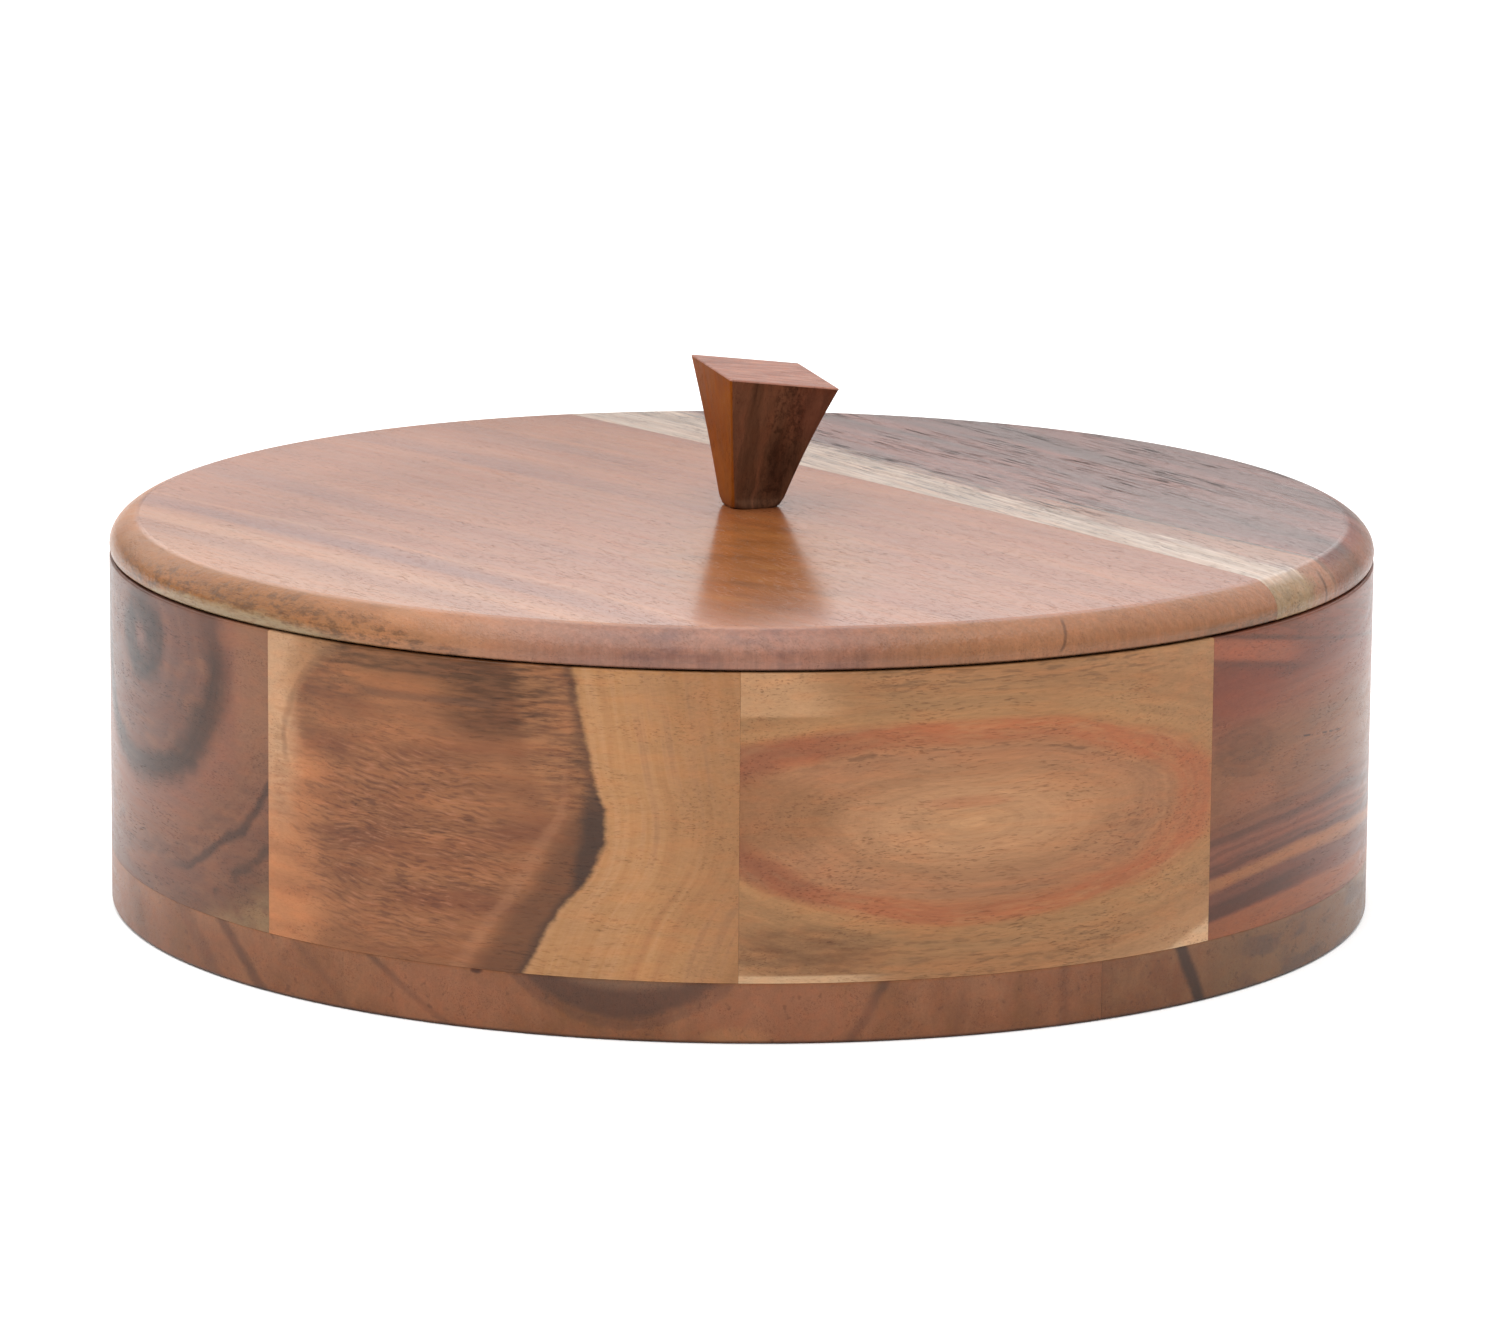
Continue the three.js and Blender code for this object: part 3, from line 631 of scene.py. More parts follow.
def lid_wide_wood():
    """The wide lid board: red-brown, with two soft dark streaks and mottled sapwood at its outer edge."""
    s = lid_shader("wood_lid_wide", radians(129.8))
    n, along = s.n, s.along
    wavy = s.noise(along / 70, n / 14, s.z / 12, seed=61) - 0.5
    layer = n + wavy * 8 + s.down * 0.8
    tone = s.noise(layer / 9, along / 250, 0.0, seed=62)
    s.colour = s.ramp(tone, (0.3, "945331"), (0.5, "9c5b35"), (0.7, "a6643a"))
    lines = s.noise(layer / 1.2, along / 110, 0.0, detail=4, roughness=0.7, seed=63)
    s.shade(1 + (lines - 0.5) * 0.3)
    s.paint(n.step(-70, -100) * 0.2, "cd8f5c")
    # The left streak and the paler wood outside it
    streak = layer + 84
    s.paint(streak.band(-8, 1.5, 3) * 0.35, "c48c62")
    s.paint(streak.band(-15, 1.5, 3.5) * 0.3, "80503e")
    s.paint(streak.band(-24, 4, 4) * 0.2, "c48c5c")
    s.paint(streak.step(-3.5, 0) * streak.step(8, 1) * (0.3 + along.step(-70, -10) * 0.3), "74403a")
    s.paint(streak.band(7.5, 0.3, 1.2) * 0.25, "c08a62")
    s.paint((layer - along * 0.08 + 59).band(0, 2.5, 4) * along.step(5, 60) * 0.35, "74443c")
    # The back streak, which fades out before the knob
    second = layer + 12
    s.paint(second.step(-2, 1) * second.step(14, 3) * along.step(-5, 70) * 0.5, "70403a")
    s.paint((layer - 14).band(0, 2, 3) * along.step(30, 70) * 0.25, "75493b")
    s.paint(along.step(50, 100) * n.step(30, -10) * 0.35, "c8937c")
    # Oblique amber and dark figure in front of the knob, where the knob's reflection falls: partly the
    # wood's figure and partly a painted reflection of the knob
    figure = s.noise((s.y + s.x * 0.55) / 8, (s.x - s.y * 0.3) / 20, 0.0, seed=64)
    middle = s.spot(s.x, s.y, 4, -60, 26, 62)
    s.paint(middle * 0.4, "a0692f")
    s.paint(figure.step(0.45, 0.72) * middle * 0.45, "643b1e")
    s.paint(figure.step(0.45, 0.25) * middle * 0.3, "bf8442")
    # Sapwood low on the outer edge, smudged grey and olive
    round_rim = s.x.math("ARCTAN2", s.y * -1) * (RADIUS / MM)
    mottle = s.noise(round_rim / 11, s.down / 2.2, 0.0, detail=5, roughness=0.6, seed=65)
    smudge = s.noise(round_rim / 3, s.down / 1.1, 0.0, detail=5, roughness=0.7, seed=66)
    rim = s.down * 1.8 - n + (mottle - 0.5) * 9
    outward = s.down * 0.5 - n
    s.paint(outward.step(55, 80) * s.sawn * 0.8, "b8825c")
    s.paint(outward.step(97, 110) * s.sawn * along.step(-50, 0) * 0.85, "96602f")
    s.paint(rim.step(96, 112) * s.sawn * mottle.step(0.4, 0.7) * 0.35, "80563a")
    s.paint(rim.step(125, 129) * s.sawn * (0.85 - smudge.step(0.4, 0.7) * 0.3), "a08a68")
    s.paint(rim.band(123, 2.5, 4.5) * s.sawn * smudge.step(0.42, 0.65) * 0.55, "543c29")
    s.paint(rim.step(108, 116) * s.sawn * smudge.step(0.48, 0.72) * 0.32, "5e4430")
    # End grain on the front of the rim, painted mauve-grey: partly the end grain's colour and partly a
    # painted sheen of the overhead light
    end = s.sawn * s.y.step(-30, -80) * s.x.step(-65, -22)
    turns = s.noise(s.x / 1.1, s.y / 1.1, s.z / 14, detail=4, roughness=0.7, seed=67)
    cloud = s.noise(s.x / 9, s.y / 9, s.z / 3, seed=69)
    s.paint(end * 0.65, "906860")
    s.paint(end * cloud.step(0.42, 0.7) * s.x.band(2, 16, 22) * 0.5, "664b4c")
    s.paint(end * s.x.step(5, 40) * 0.78, "9e6b45")
    s.shade(1 + (turns - 0.5) * end * 0.8)
    crack = (s.x + (s.down - 3) * (s.down - 3) * 0.12).band(57.3, 0.08, 0.4)
    s.paint(crack * s.down.band(3.2, 2, 1) * s.y.step(0, -50) * 0.6, "4d3426")
    low = s.x.step(70, 92) * s.down.step(3.8, 5.8) * s.y.step(-20, -50)
    s.paint(low * (0.3 + smudge.step(0.45, 0.6) * 0.5), "6b4f38")
    # Painted shade: the rim's lowest edge is darkened as the shadow in the seam under the lid, deeper to the
    # right
    lip = s.z.step(LID_BOTTOM / MM + 0.6, LID_BOTTOM / MM + 0.1) * s.sawn
    s.paint(lip * (s.x.step(-60, 60) * 0.5 + 0.3), "2e1d14")
    return finished_wood(s, along, n, s.z, grain=0.65, pores=0.3, coat=0.85 - s.sawn * 0.35,
                         gloss=LID_GLOSS, sawn=s.sawn)


def lid_narrow_wood():
    """The narrow lid board: cream sapwood along the joint, then grey-brown wood full of dark pores."""
    s = lid_shader("wood_lid_narrow", radians(122))
    n, along = s.n, s.along
    wavy = s.noise(along / 60, n / 12, s.z / 10, seed=71) - 0.5
    frayed = s.noise(along / 12, n / 1.3, s.z / 2, detail=4, roughness=0.65, seed=72) - 0.5
    layer = n + wavy * 9 - s.down * 0.4
    tone = s.noise(layer / 6, along / 160, 0.0, detail=4, seed=73)
    s.colour = s.ramp(tone, (0.3, "573d36"), (0.45, "70463c"), (0.58, "845145"), (0.72, "8f5a49"))
    lines = s.noise(layer / 1.0, along / 80, 0.0, detail=4, roughness=0.7, seed=74)
    s.shade(1 + (lines - 0.5) * 0.5)
    level = n + along * 0.137 + frayed * 3
    blush = level.band(48.5, 3.5, 3) * along.step(0, -40)
    s.paint(blush * 0.75, "ab7c60")
    smooth_grey = s.spot(s.x, s.y, 88, -2, 28, 34)
    s.paint(smooth_grey * 0.4, "6b5048")
    s.paint(level.band(52.8, 0.2, 1.0) * along.step(0, -30) * 0.6, "4e3a31")
    sap_edge = n - 50.3 + frayed * 13 + wavy * 3 - along.step(-40, -110) * 6 - s.sawn * 2.2
    heart = s.colour
    s.colour = s.ramp(s.noise(along / 22, n / 1.3, s.z / 2, detail=4, seed=75),
                      (0.3, "9d8570"), (0.5, "b59b86"), (0.7, "cdb6a2"))
    s.paint(s.down.step(0.2, 1.6) * 0.8, "967852")
    s.colour = s.mix(sap_edge.step(3, -3), heart, s.colour)
    mottle = s.noise(s.x / 2.4, s.y / 2.4, s.z / 1.5, detail=4, roughness=0.7, seed=79)
    s.paint(s.down.step(0.8, 2.5) * sap_edge.step(8, -2) * mottle.step(0.45, 0.6) * 0.4, "7f6549")
    rim_line = (n - 62.5 + (mottle - 0.5)).band(0, 0.15, 0.5) * s.down.step(0.6, 1.6) * along.step(0, -50)
    s.paint(rim_line * 0.7, "5a4030")
    s.paint(s.down.step(0.3, 2) * sap_edge.step(2, 8) * 0.4, "9c7051")
    fleck = s.noise(along / 9, n / 0.6, s.z / 0.6, seed=76).step(0.52, 0.66)
    near = (sap_edge + 2).band(0, 6, 6) * along.step(-70, -20)
    s.paint(fleck * (near * 0.8).below(1), "55443a")
    dark = s.noise(along / 45, n / 6, s.z / 6, detail=2, seed=77).step(0.42, 0.56)
    pore = s.noise(along / 11, n / 0.5, s.z / 0.5, detail=2, seed=78).step(0.55, 0.61)
    top = s.down.step(0.6, 0.1)
    slits = dark * pore * sap_edge.step(-4, 3) * along.step(-70, -35) * (1 - smooth_grey * 0.8) * top
    s.paint(slits * 0.9, "22150f")
    return finished_wood(s, along, n, s.z, grain=1.0, pores=0.8, pore_size=1.4, relief_depth=0.08,
                         coat=0.85 - s.sawn * 0.45, gloss=LID_GLOSS, sawn=s.sawn, holes=slits)


def knob_wood():
    """The knob: dark heartwood with upright figure. Its left face is painted lighter as painted light from
    the left, and the pink of its top is partly a painted sheen.
    """
    s = Shader("wood_knob")
    across = s.x - KNOB_X / MM
    u = across * cos(KNOB_TURN) + s.y * sin(KNOB_TURN)
    v = s.y * cos(KNOB_TURN) - across * sin(KNOB_TURN)
    up = s.z - LID_TOP / MM
    wavy = s.noise(u / 5, v / 5, up / 12, seed=81) - 0.5
    layer = u * 0.9 + wavy * 5 - up * 0.08
    tone = s.noise(layer / 2.6, v / 24, up / 40, detail=4, roughness=0.65, seed=82)
    s.colour = s.ramp(tone, (0.3, "57392a"), (0.46, "6f4c38"), (0.6, "865a43"), (0.78, "966a50"))
    s.paint(s.spot(u, up, 11, 20, 9, 9) * 0.5, "7d4a3a")
    s.paint(s.spot(u, up, 3.5, 8, 3, 8) * 0.5, "40251b")
    curl = s.noise(u / 1.0, v / 2, up / 1.3, detail=4, roughness=0.7, seed=84)
    column = (u - up * 0.09 - wavy * 4).band(2.2, 1.6, 2.2)
    s.paint(curl.step(0.42, 0.62) * column * 0.6, "3c2318")
    # Painted light: the left face gets a lighter ramp, as if lit from the left
    light = s.ramp(tone, (0.3, "98521a"), (0.5, "a55b1e"), (0.75, "b36a25"))
    side = u + up * 0.134
    s.colour = s.mix(side.step(-4.3, -4.6), s.colour, light)
    # The top's end grain, painted pinker: partly its colour and partly a painted sheen of the lacquer
    crown = s.ramp(s.noise(u / 8, v / 1.2, up / 4, detail=4, seed=83), (0.3, "8a5848"), (0.5, "a06b59"),
                   (0.7, "b17e69"))
    top = up - (KNOB_HEIGHT / MM) + (u - KNOB_LEAN / MM) * KNOB_DROP - v * KNOB_TILT
    on_top = top.step(-0.35, -0.1)
    s.colour = s.mix(on_top, s.colour, crown)
    return finished_wood(s, up, u, v, grain=0.9, pores=0.45, pore_size=0.8, coat=0.04 + on_top * 0.28,
                         gloss=0.25)


# ---- Metal ----
def steel(name, tint, roughness, lathe=None):
    """Stainless steel. With lathe, a centre (x, y), it shows the fine rings of spinning."""
    s = Shader(name)
    if lathe:
        dx, dy = s.x - lathe[0], s.y - lathe[1]
        reach = (dx * dx + dy * dy).root()
        grooves = s.noise(reach / 0.18, s.z / 0.3, 0.0, detail=2, seed=91)
        broad = s.noise(reach / 5, s.z / 6, dx / 60, detail=2, seed=92)
    else:
        grooves = s.noise(s.x / 0.2, s.y / 6, s.z / 6, detail=2, seed=91)
        broad = s.noise(s.x / 8, s.y / 8, s.z / 8, detail=2, seed=92)
    smudge = s.noise(s.x / 14, s.y / 14, s.z / 14, seed=93)
    s.colour = linear(tint)
    s.shade(0.94 + (broad - 0.5) * 0.14 + (smudge - 0.5) * 0.1)
    rough = roughness + (grooves - 0.5) * 0.12 + smudge.step(0.5, 0.75) * 0.06
    return s.surface(rough, grooves, depth=0.006, metallic=1.0, anisotropy=0.3 if lathe else 0.0)


# ---- Meshes ----
def piece(name, mesh, body, material, nodes, sharp=32):
    """Puts a finished mesh in the scene as a smooth-shaded piece that stands for CAD nodes."""
    for polygon in mesh.polygons:
        polygon.use_smooth = True
    mesh.set_sharp_from_angle(angle=radians(sharp))
    mesh.materials.clear()
    mesh.materials.append(material)
    obj = bpy.data.objects.new(name, mesh)
    bpy.context.scene.collection.objects.link(obj)
    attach(obj, body)
    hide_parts(*nodes)
    return obj


def mesh_from(name, points, faces):
    mesh = bpy.data.meshes.new(name)
    mesh.from_pydata([tuple(p) for p in points], [], faces)
    mesh.validate()
    return mesh


def joined(rings, count, start=0):
    """The faces between closed rings of count points each, whose first point is numbered start."""
    faces = []
    for k in range(rings - 1):
        here, above = start + k * count, start + (k + 1) * count
        for i in range(count):
            j = (i + 1) % count
            faces.append((here + i, here + j, above + j, above + i))
    return faces


def arc_points(centre, radius, start, end, steps):
    """Points [r, z] on a rounding, at angles in degrees from +r towards +z. radius may be (across, up)."""
    across, up = radius if isinstance(radius, tuple) else (radius, radius)
    turns = [radians(start + (end - start) * i / steps) for i in range(steps + 1)]
    return [(centre[0] + across * cos(t), centre[1] + up * sin(t)) for t in turns]


def turned(name, profile, steps=192, centre=(0, 0)):
    """A solid of revolution. The profile's [r, z] points start and end on the axis."""
    ends = [Vector((centre[0], centre[1], profile[0][1])), Vector((centre[0], centre[1], profile[-1][1]))]
    rings = profile[1:-1]
    points = []
    for r, z in rings:
        for i in range(steps):
            t = 2 * pi * i / steps
            points.append((centre[0] + r * cos(t), centre[1] + r * sin(t), z))
    faces = joined(len(rings), steps)
    first, last = len(points), len(points) + 1
    points += ends
    top = (len(rings) - 1) * steps
    for i in range(steps):
        j = (i + 1) % steps
        faces.append((first, j, i))
        faces.append((last, top + i, top + j))
    return mesh_from(name, points, faces)


def swept(name, profile, start, end, steps):
    """A closed [r, z] profile swept round the Z axis between two angles from the front, with flat ends."""
    points = []
    for i in range(steps + 1):
        t = start + (end - start) * i / steps
        points += [(r * sin(t), -r * cos(t), z) for r, z in profile]
    count = len(profile)
    faces = []
    for i in range(steps):
        for k in range(count):
            m = (k + 1) % count
            faces.append((i * count + k, (i + 1) * count + k, (i + 1) * count + m, i * count + m))
    faces.append(tuple(reversed(range(count))))
    faces.append(tuple(steps * count + k for k in range(count)))
    mesh = mesh_from(name, points, faces)
    outward(mesh)
    return mesh


def outward(mesh):
    """Turns every face to point out of the closed mesh."""
    bm = bmesh.new()
    bm.from_mesh(mesh)
    bmesh.ops.recalc_face_normals(bm, faces=bm.faces)
    bm.to_mesh(mesh)
    bm.free()


def sawn(mesh, point, normal):
    """Keeps the part of a closed mesh behind a plane and closes the cut."""
    bm = bmesh.new()
    bm.from_mesh(mesh)
    geometry = bm.verts[:] + bm.edges[:] + bm.faces[:]
    cut = bmesh.ops.bisect_plane(bm, geom=geometry, plane_co=point, plane_no=normal, clear_outer=True)
    edges = [e for e in cut["geom_cut"] if isinstance(e, bmesh.types.BMEdge)]
    bmesh.ops.edgeloop_fill(bm, edges=edges)
    bmesh.ops.recalc_face_normals(bm, faces=bm.faces)
    bm.to_mesh(mesh)
    bm.free()
    return mesh


def cut_out(mesh, tool_mesh):
    """The mesh with the tool's volume taken away."""
    target = bpy.data.objects.new("target", mesh)
    tool = bpy.data.objects.new("tool", tool_mesh)
    for obj in (target, tool):
        bpy.context.scene.collection.objects.link(obj)
    modifier = target.modifiers.new("cut", "BOOLEAN")
    modifier.operation = "DIFFERENCE"
    modifier.solver = "EXACT"
    modifier.object = tool
    bpy.context.view_layer.update()
    graph = bpy.context.evaluated_depsgraph_get()
    result = bpy.data.meshes.new_from_object(target.evaluated_get(graph))
    bpy.data.objects.remove(target)
    bpy.data.objects.remove(tool)
    return result


# ---- Base ----
def build_base():
    ease = 0.8 * MM
    tiny = 0.05 * MM
    profile = [(0, 0), (RADIUS - 3 * MM, 0), *arc_points((RADIUS - ease, ease), ease, -90, 0, 5),
               (RADIUS, BASE_TOP - 1 * MM), *arc_points((RADIUS - tiny, BASE_TOP - tiny), tiny, 0, 90, 2),
               (RADIUS - 2 * MM, BASE_TOP), (0, BASE_TOP)]
    boards = (("base_board_wide", 1, base_wide_wood), ("base_board_narrow", -1, base_narrow_wood))
    for name, side, wood in boards:
        board = turned(name, profile, steps=288)
        sawn(board, (BASE_JOINT_X - side * HAIRLINE, 0, 0), (side, 0, 0))
        piece("wood_" + name, board, "box", wood(), [name])


# ---- Wall ----
def build_wall():
    inside = RADIUS - WALL_THICKNESS
    ease = 0.5 * MM
    bottom = BASE_TOP + 2 * HAIRLINE
    top = WALL_TOP
    profile = [(RADIUS, bottom + 1 * MM), (RADIUS, top - ease * 3),
               *arc_points((RADIUS - ease, top - ease), ease, 0, 90, 4),
               (RADIUS - 2 * MM, top), (inside + 2 * MM, top),
               *arc_points((inside + ease, top - ease), ease, 90, 180, 4),
               (inside, top - ease * 3), (inside, bottom + 1 * MM),
               (inside, bottom), (RADIUS, bottom)]
    sweep = 2 * pi / SEGMENTS
    hair = HAIRLINE / RADIUS
    for i in range(SEGMENTS):
        start = sweep * (i - 1)
        name = f"wall_segment_{i + 1}"
        block = swept(name, profile, start + hair, start + sweep - hair, 36)
        piece("wood_" + name, block, "box", wall_wood(i), [name])


# ---- Lid ----
def screw_hole(play):
    """The space of the countersunk screw, with some play round it."""
    head = 4 * MM + play
    shank = 1.9 * MM + play
    return turned("screw_hole", [
        (0, LID_FOOT - 1 * MM), (head, LID_FOOT - 1 * MM), (head, screw_low.z + 0.3 * MM),
        (shank, screw_low.z + 2.4 * MM + play), (shank, screw_high.z - 3 * MM), (0, screw_high.z + play),
    ], steps=48, centre=(KNOB_X, 0))


def lid_profile():
    """From the underside's centre round the rabbet and the rounded rim to the top's centre."""
    foot = LID_BOTTOM + 1.5 * MM
    edge = LID_TOP - LID_CROWN
    end = radians(72)
    across = (RADIUS - LID_RIDGE) / (1 - cos(end))
    up = (edge - foot) / sin(end)
    small = 0.5 * MM
    lip = 0.7 * MM
    rim = arc_points((RADIUS - across, foot), (across, up), 0, degrees(end) - 4, 16)
    rings = 12
    crown = [(LID_RIDGE * i / rings, edge + LID_CROWN * (1 - (i / rings) ** 2)) for i in range(rings, 0, -1)]
    return [(0, LID_FOOT), (RABBET_RADIUS - 3 * MM, LID_FOOT),
            *arc_points((RABBET_RADIUS - small, LID_FOOT + small), small, -90, 0, 12),
            (RABBET_RADIUS, LID_BOTTOM), (RADIUS - 3 * MM, LID_BOTTOM),
            *arc_points((RADIUS - 0.15 * MM - lip, LID_BOTTOM + lip), lip, -90, -20, 10),
            *rim, *crown, (0, LID_TOP)]


def build_lid():
    across = Vector((sin(LID_GRAIN_ANGLE), -cos(LID_GRAIN_ANGLE), 0))
    boards = (("lid_board_wide", 1, lid_wide_wood), ("lid_board_narrow", -1, lid_narrow_wood))
    for name, side, wood in boards:
        board = turned(name, lid_profile(), steps=288)
        sawn(board, across * (LID_JOINT_OFFSET - side * HAIRLINE), across * side)
        if side > 0:
            board = cut_out(board, screw_hole(0.1 * MM))
        piece("wood_" + name, board, "lid", wood(), [name], sharp=9)


def knob_ring(level, inset=0.0, sink=0.0):
    """One rounded-rectangle loop round the knob. level is 0 at the foot and 1 at the top."""
    waist = KNOB_WAIST_HEIGHT / KNOB_HEIGHT
    if level < waist:
        part = level / waist
        length = KNOB_FOOT_SIZE[0] + (KNOB_WAIST[0] - KNOB_FOOT_SIZE[0]) * part
        width = KNOB_FOOT_SIZE[1] + (KNOB_WAIST[1] - KNOB_FOOT_SIZE[1]) * part
        corner = (0.3 - 0.22 * part) * min(length, width)
    else:
        part = (level - waist) / (1 - waist)
        length = KNOB_WAIST[0] + (KNOB_TOP - KNOB_WAIST[0]) * part
        width = KNOB_WAIST[1] + (KNOB_TOP - KNOB_WAIST[1]) * part
        corner = (0.65 - 0.15 * part) * MM
    bow = 0.25 * MM * sin(pi * level)
    length -= 2 * (inset + bow)
    width -= 2 * (inset + bow)
    corner = max(corner - inset, 0.12 * MM)
    steps = 6
    loop = []
    for k in range(4):
        middle = radians(45 + 90 * k)
        cx = (length / 2 - corner) * (1 if cos(middle) > 0 else -1)
        cy = (width / 2 - corner) * (1 if sin(middle) > 0 else -1)
        for i in range(steps + 1):
            t = middle + radians(-45 + 90 * i / steps)
            along = cx + corner * cos(t)
            side = cy + corner * sin(t)
            rise = (-along * KNOB_DROP + side * KNOB_TILT) * level
            x = along + KNOB_LEAN * level
            loop.append((KNOB_X + x * cos(KNOB_TURN) - side * sin(KNOB_TURN),
                         x * sin(KNOB_TURN) + side * cos(KNOB_TURN),
                         KNOB_FOOT + KNOB_HEIGHT * level + rise - sink))
    return loop


def build_knob():
    edge = 0.45 * MM
    waist = KNOB_WAIST_HEIGHT / KNOB_HEIGHT
    loops = [knob_ring(0.0, inset=0.25 * MM), knob_ring(0.012)]
    loops += [knob_ring(waist * part) for part in (0.5, 0.85, 1.0, 1.25)]
    shoulder = 1 - edge / KNOB_HEIGHT
    loops += [knob_ring(waist * 1.25 + (shoulder - waist * 1.25) * i / 14) for i in range(1, 15)]
    for i in range(1, 5):
        t = radians(90 * i / 4)
        loops.append(knob_ring(1.0, inset=edge * (1 - cos(t)), sink=edge * (1 - sin(t))))
    loops.append(knob_ring(1.0, inset=edge + 0.8 * MM))
    count = len(loops[0])
    points = [p for loop in loops for p in loop]
    faces = [tuple(reversed(range(count))), *joined(len(loops), count)]
    faces.append(tuple((len(loops) - 1) * count + i for i in range(count)))
    mesh = mesh_from("knob", points, faces)
    outward(mesh)
    mesh = cut_out(mesh, screw_hole(0.05 * MM))
    piece("wood_knob", mesh, "lid", knob_wood(), ["knob"], sharp=40)


def build_screw():
    """A countersunk wood screw: a head with a cross recess, a core and a helical thread."""
    low, high = screw_low.z, screw_high.z
    head, core, crest = 4 * MM, 1.35 * MM, 1.9 * MM
    pitch = 1.9 * MM
    around, rows = 24, 132
    neck = low + 2.4 * MM
    points = []
    for k in range(rows + 1):
        z = neck + (high - 0.2 * MM - neck) * k / rows
        taper = min(1, (high - z) / (3 * MM))
        for i in range(around):
            phase = (z / pitch - i / around) % 1
            ridge = max(0, 1 - abs(phase - 0.5) * 4)
            radius = (core + (crest - core) * ridge * min(1, k / 8)) * (0.12 + 0.88 * taper)
            t = 2 * pi * i / around
            points.append((KNOB_X + radius * cos(t), radius * sin(t), z))
    faces = joined(rows + 1, around)
    faces.append(tuple(rows * around + i for i in range(around)))
    start = len(points)
    rings = [(head - 0.3 * MM, low), (head, low + 0.12 * MM), (head, low + 0.35 * MM)]
    for radius, z in rings:
        points += [(KNOB_X + radius * cos(2 * pi * i / around), radius * sin(2 * pi * i / around), z)
                   for i in range(around)]
    faces.append(tuple(start + i for i in reversed(range(around))))
    faces += joined(len(rings), around, start)
    edge = start + (len(rings) - 1) * around
    for i in range(around):
        j = (i + 1) % around
        faces.append((edge + i, edge + j, j, i))
    mesh = mesh_from("knob_screw", points, faces)
    outward(mesh)
    for turn in (0, pi / 2):
        mesh = cut_out(mesh, recess_blade(low, turn + pi / 5))
    steel_screw = steel("steel_screw", "b4b2ac", 0.3)
    piece("steel_knob_screw", mesh, "lid", steel_screw, ["knob_screw"], sharp=28)


def recess_blade(low, turn):
    """One arm of the cross recess: a blade that narrows upwards into the head."""
    points = []
    ends = ((2.2 * MM, 0.5 * MM, low - 0.5 * MM), (0.8 * MM, 0.3 * MM, low + 1.5 * MM))
    for half_length, half_width, z in ends:
        for sx, sy in ((-1, -1), (1, -1), (1, 1), (-1, 1)):
            x, y = sx * half_length, sy * half_width
            points.append((KNOB_X + x * cos(turn) - y * sin(turn), x * sin(turn) + y * cos(turn), z))
    faces = [(3, 2, 1, 0), (4, 5, 6, 7), (0, 1, 5, 4), (1, 2, 6, 5), (2, 3, 7, 6), (3, 0, 4, 7)]
    return mesh_from("blade", points, faces)


# ---- Cups ----
def cup_profile():
    """A spun cup's wall: foot, straight side, rolled rim and a shallow step in its floor."""
    low, high = cup_low.z, cup_high.z
    rim = (cup_high.x - cup_low.x) / 2
    wall = 0.8 * MM
    bead = 0.75 * MM
    foot = 32.6 * MM
    body = 34 * MM
    corner = 2.2 * MM
    outer = [(0, low + 0.5 * MM), (24 * MM, low + 0.5 * MM), (25.2 * MM, low + 0.1 * MM), (26 * MM, low),
             (foot - corner - 1 * MM, low), *arc_points((foot - corner, low + corner), corner, -90, -2, 8)]
    side = [(foot + (body - foot) * i / 6, low + corner + (high - 2 * bead - low - corner) * i / 6)
            for i in range(1, 7)]
    roll = arc_points((rim - bead, high - bead), bead, -120, 140, 14)
    inner_top = (body - wall, high - 2.2 * bead)
    inner_corner = corner - wall
    inner = [inner_top, (foot - wall, low + corner + 1 * MM),
             *arc_points((foot - corner, low + corner), inner_corner, 0, -90, 8),
             (26 * MM, low + wall), (25.2 * MM, low + wall + 0.1 * MM), (24 * MM, low + wall + 0.5 * MM),
             (0, low + wall + 0.5 * MM)]
    return outer + side + roll + inner


def build_cups():
    places = [("cup_center", 0.0, 0.0)]
    for i in range(6):
        turn = pi / 3 * i
        places.append((f"cup_{i + 1}", CUP_PITCH * cos(turn), CUP_PITCH * sin(turn)))
    for name, x, y in places:
        cup = turned(name, cup_profile(), steps=128, centre=(x, y))
        outward(cup)
        material = steel("steel_" + name, "c9cacb", 0.2, lathe=(x / MM, y / MM))
        piece("steel_" + name, cup, name, material, [name], sharp=40)


# ---- Spoon ----
def smooth(t):
    return t * t * (3 - 2 * t)


def spoon_section(s):
    """Half width and dish depth of the spoon at s from the bowl's tip."""
    if s < SPOON_BOWL_LENGTH:
        place = s / SPOON_BOWL_LENGTH
        oval = sqrt(max(0, 1 - (2 * place - 1) ** 2))
        neck = SPOON_NECK_WIDTH * smooth(max(0, (place - 0.5) * 2))
        return max(0.5 * MM, neck / 2, oval * SPOON_BOWL_WIDTH / 2), oval ** 2 * SPOON_BOWL_DEPTH
    place = (s - SPOON_BOWL_LENGTH) / (SPOON_LENGTH - SPOON_BOWL_LENGTH)
    end = SPOON_HANDLE_WIDTH / 2
    left = SPOON_LENGTH - s
    half = (SPOON_NECK_WIDTH + (SPOON_HANDLE_WIDTH - SPOON_NECK_WIDTH) * smooth(place)) / 2
    if left < end:
        half = min(half, sqrt(max(0, end ** 2 - (end - left) ** 2)))
    return max(0.5 * MM, half), 0.0


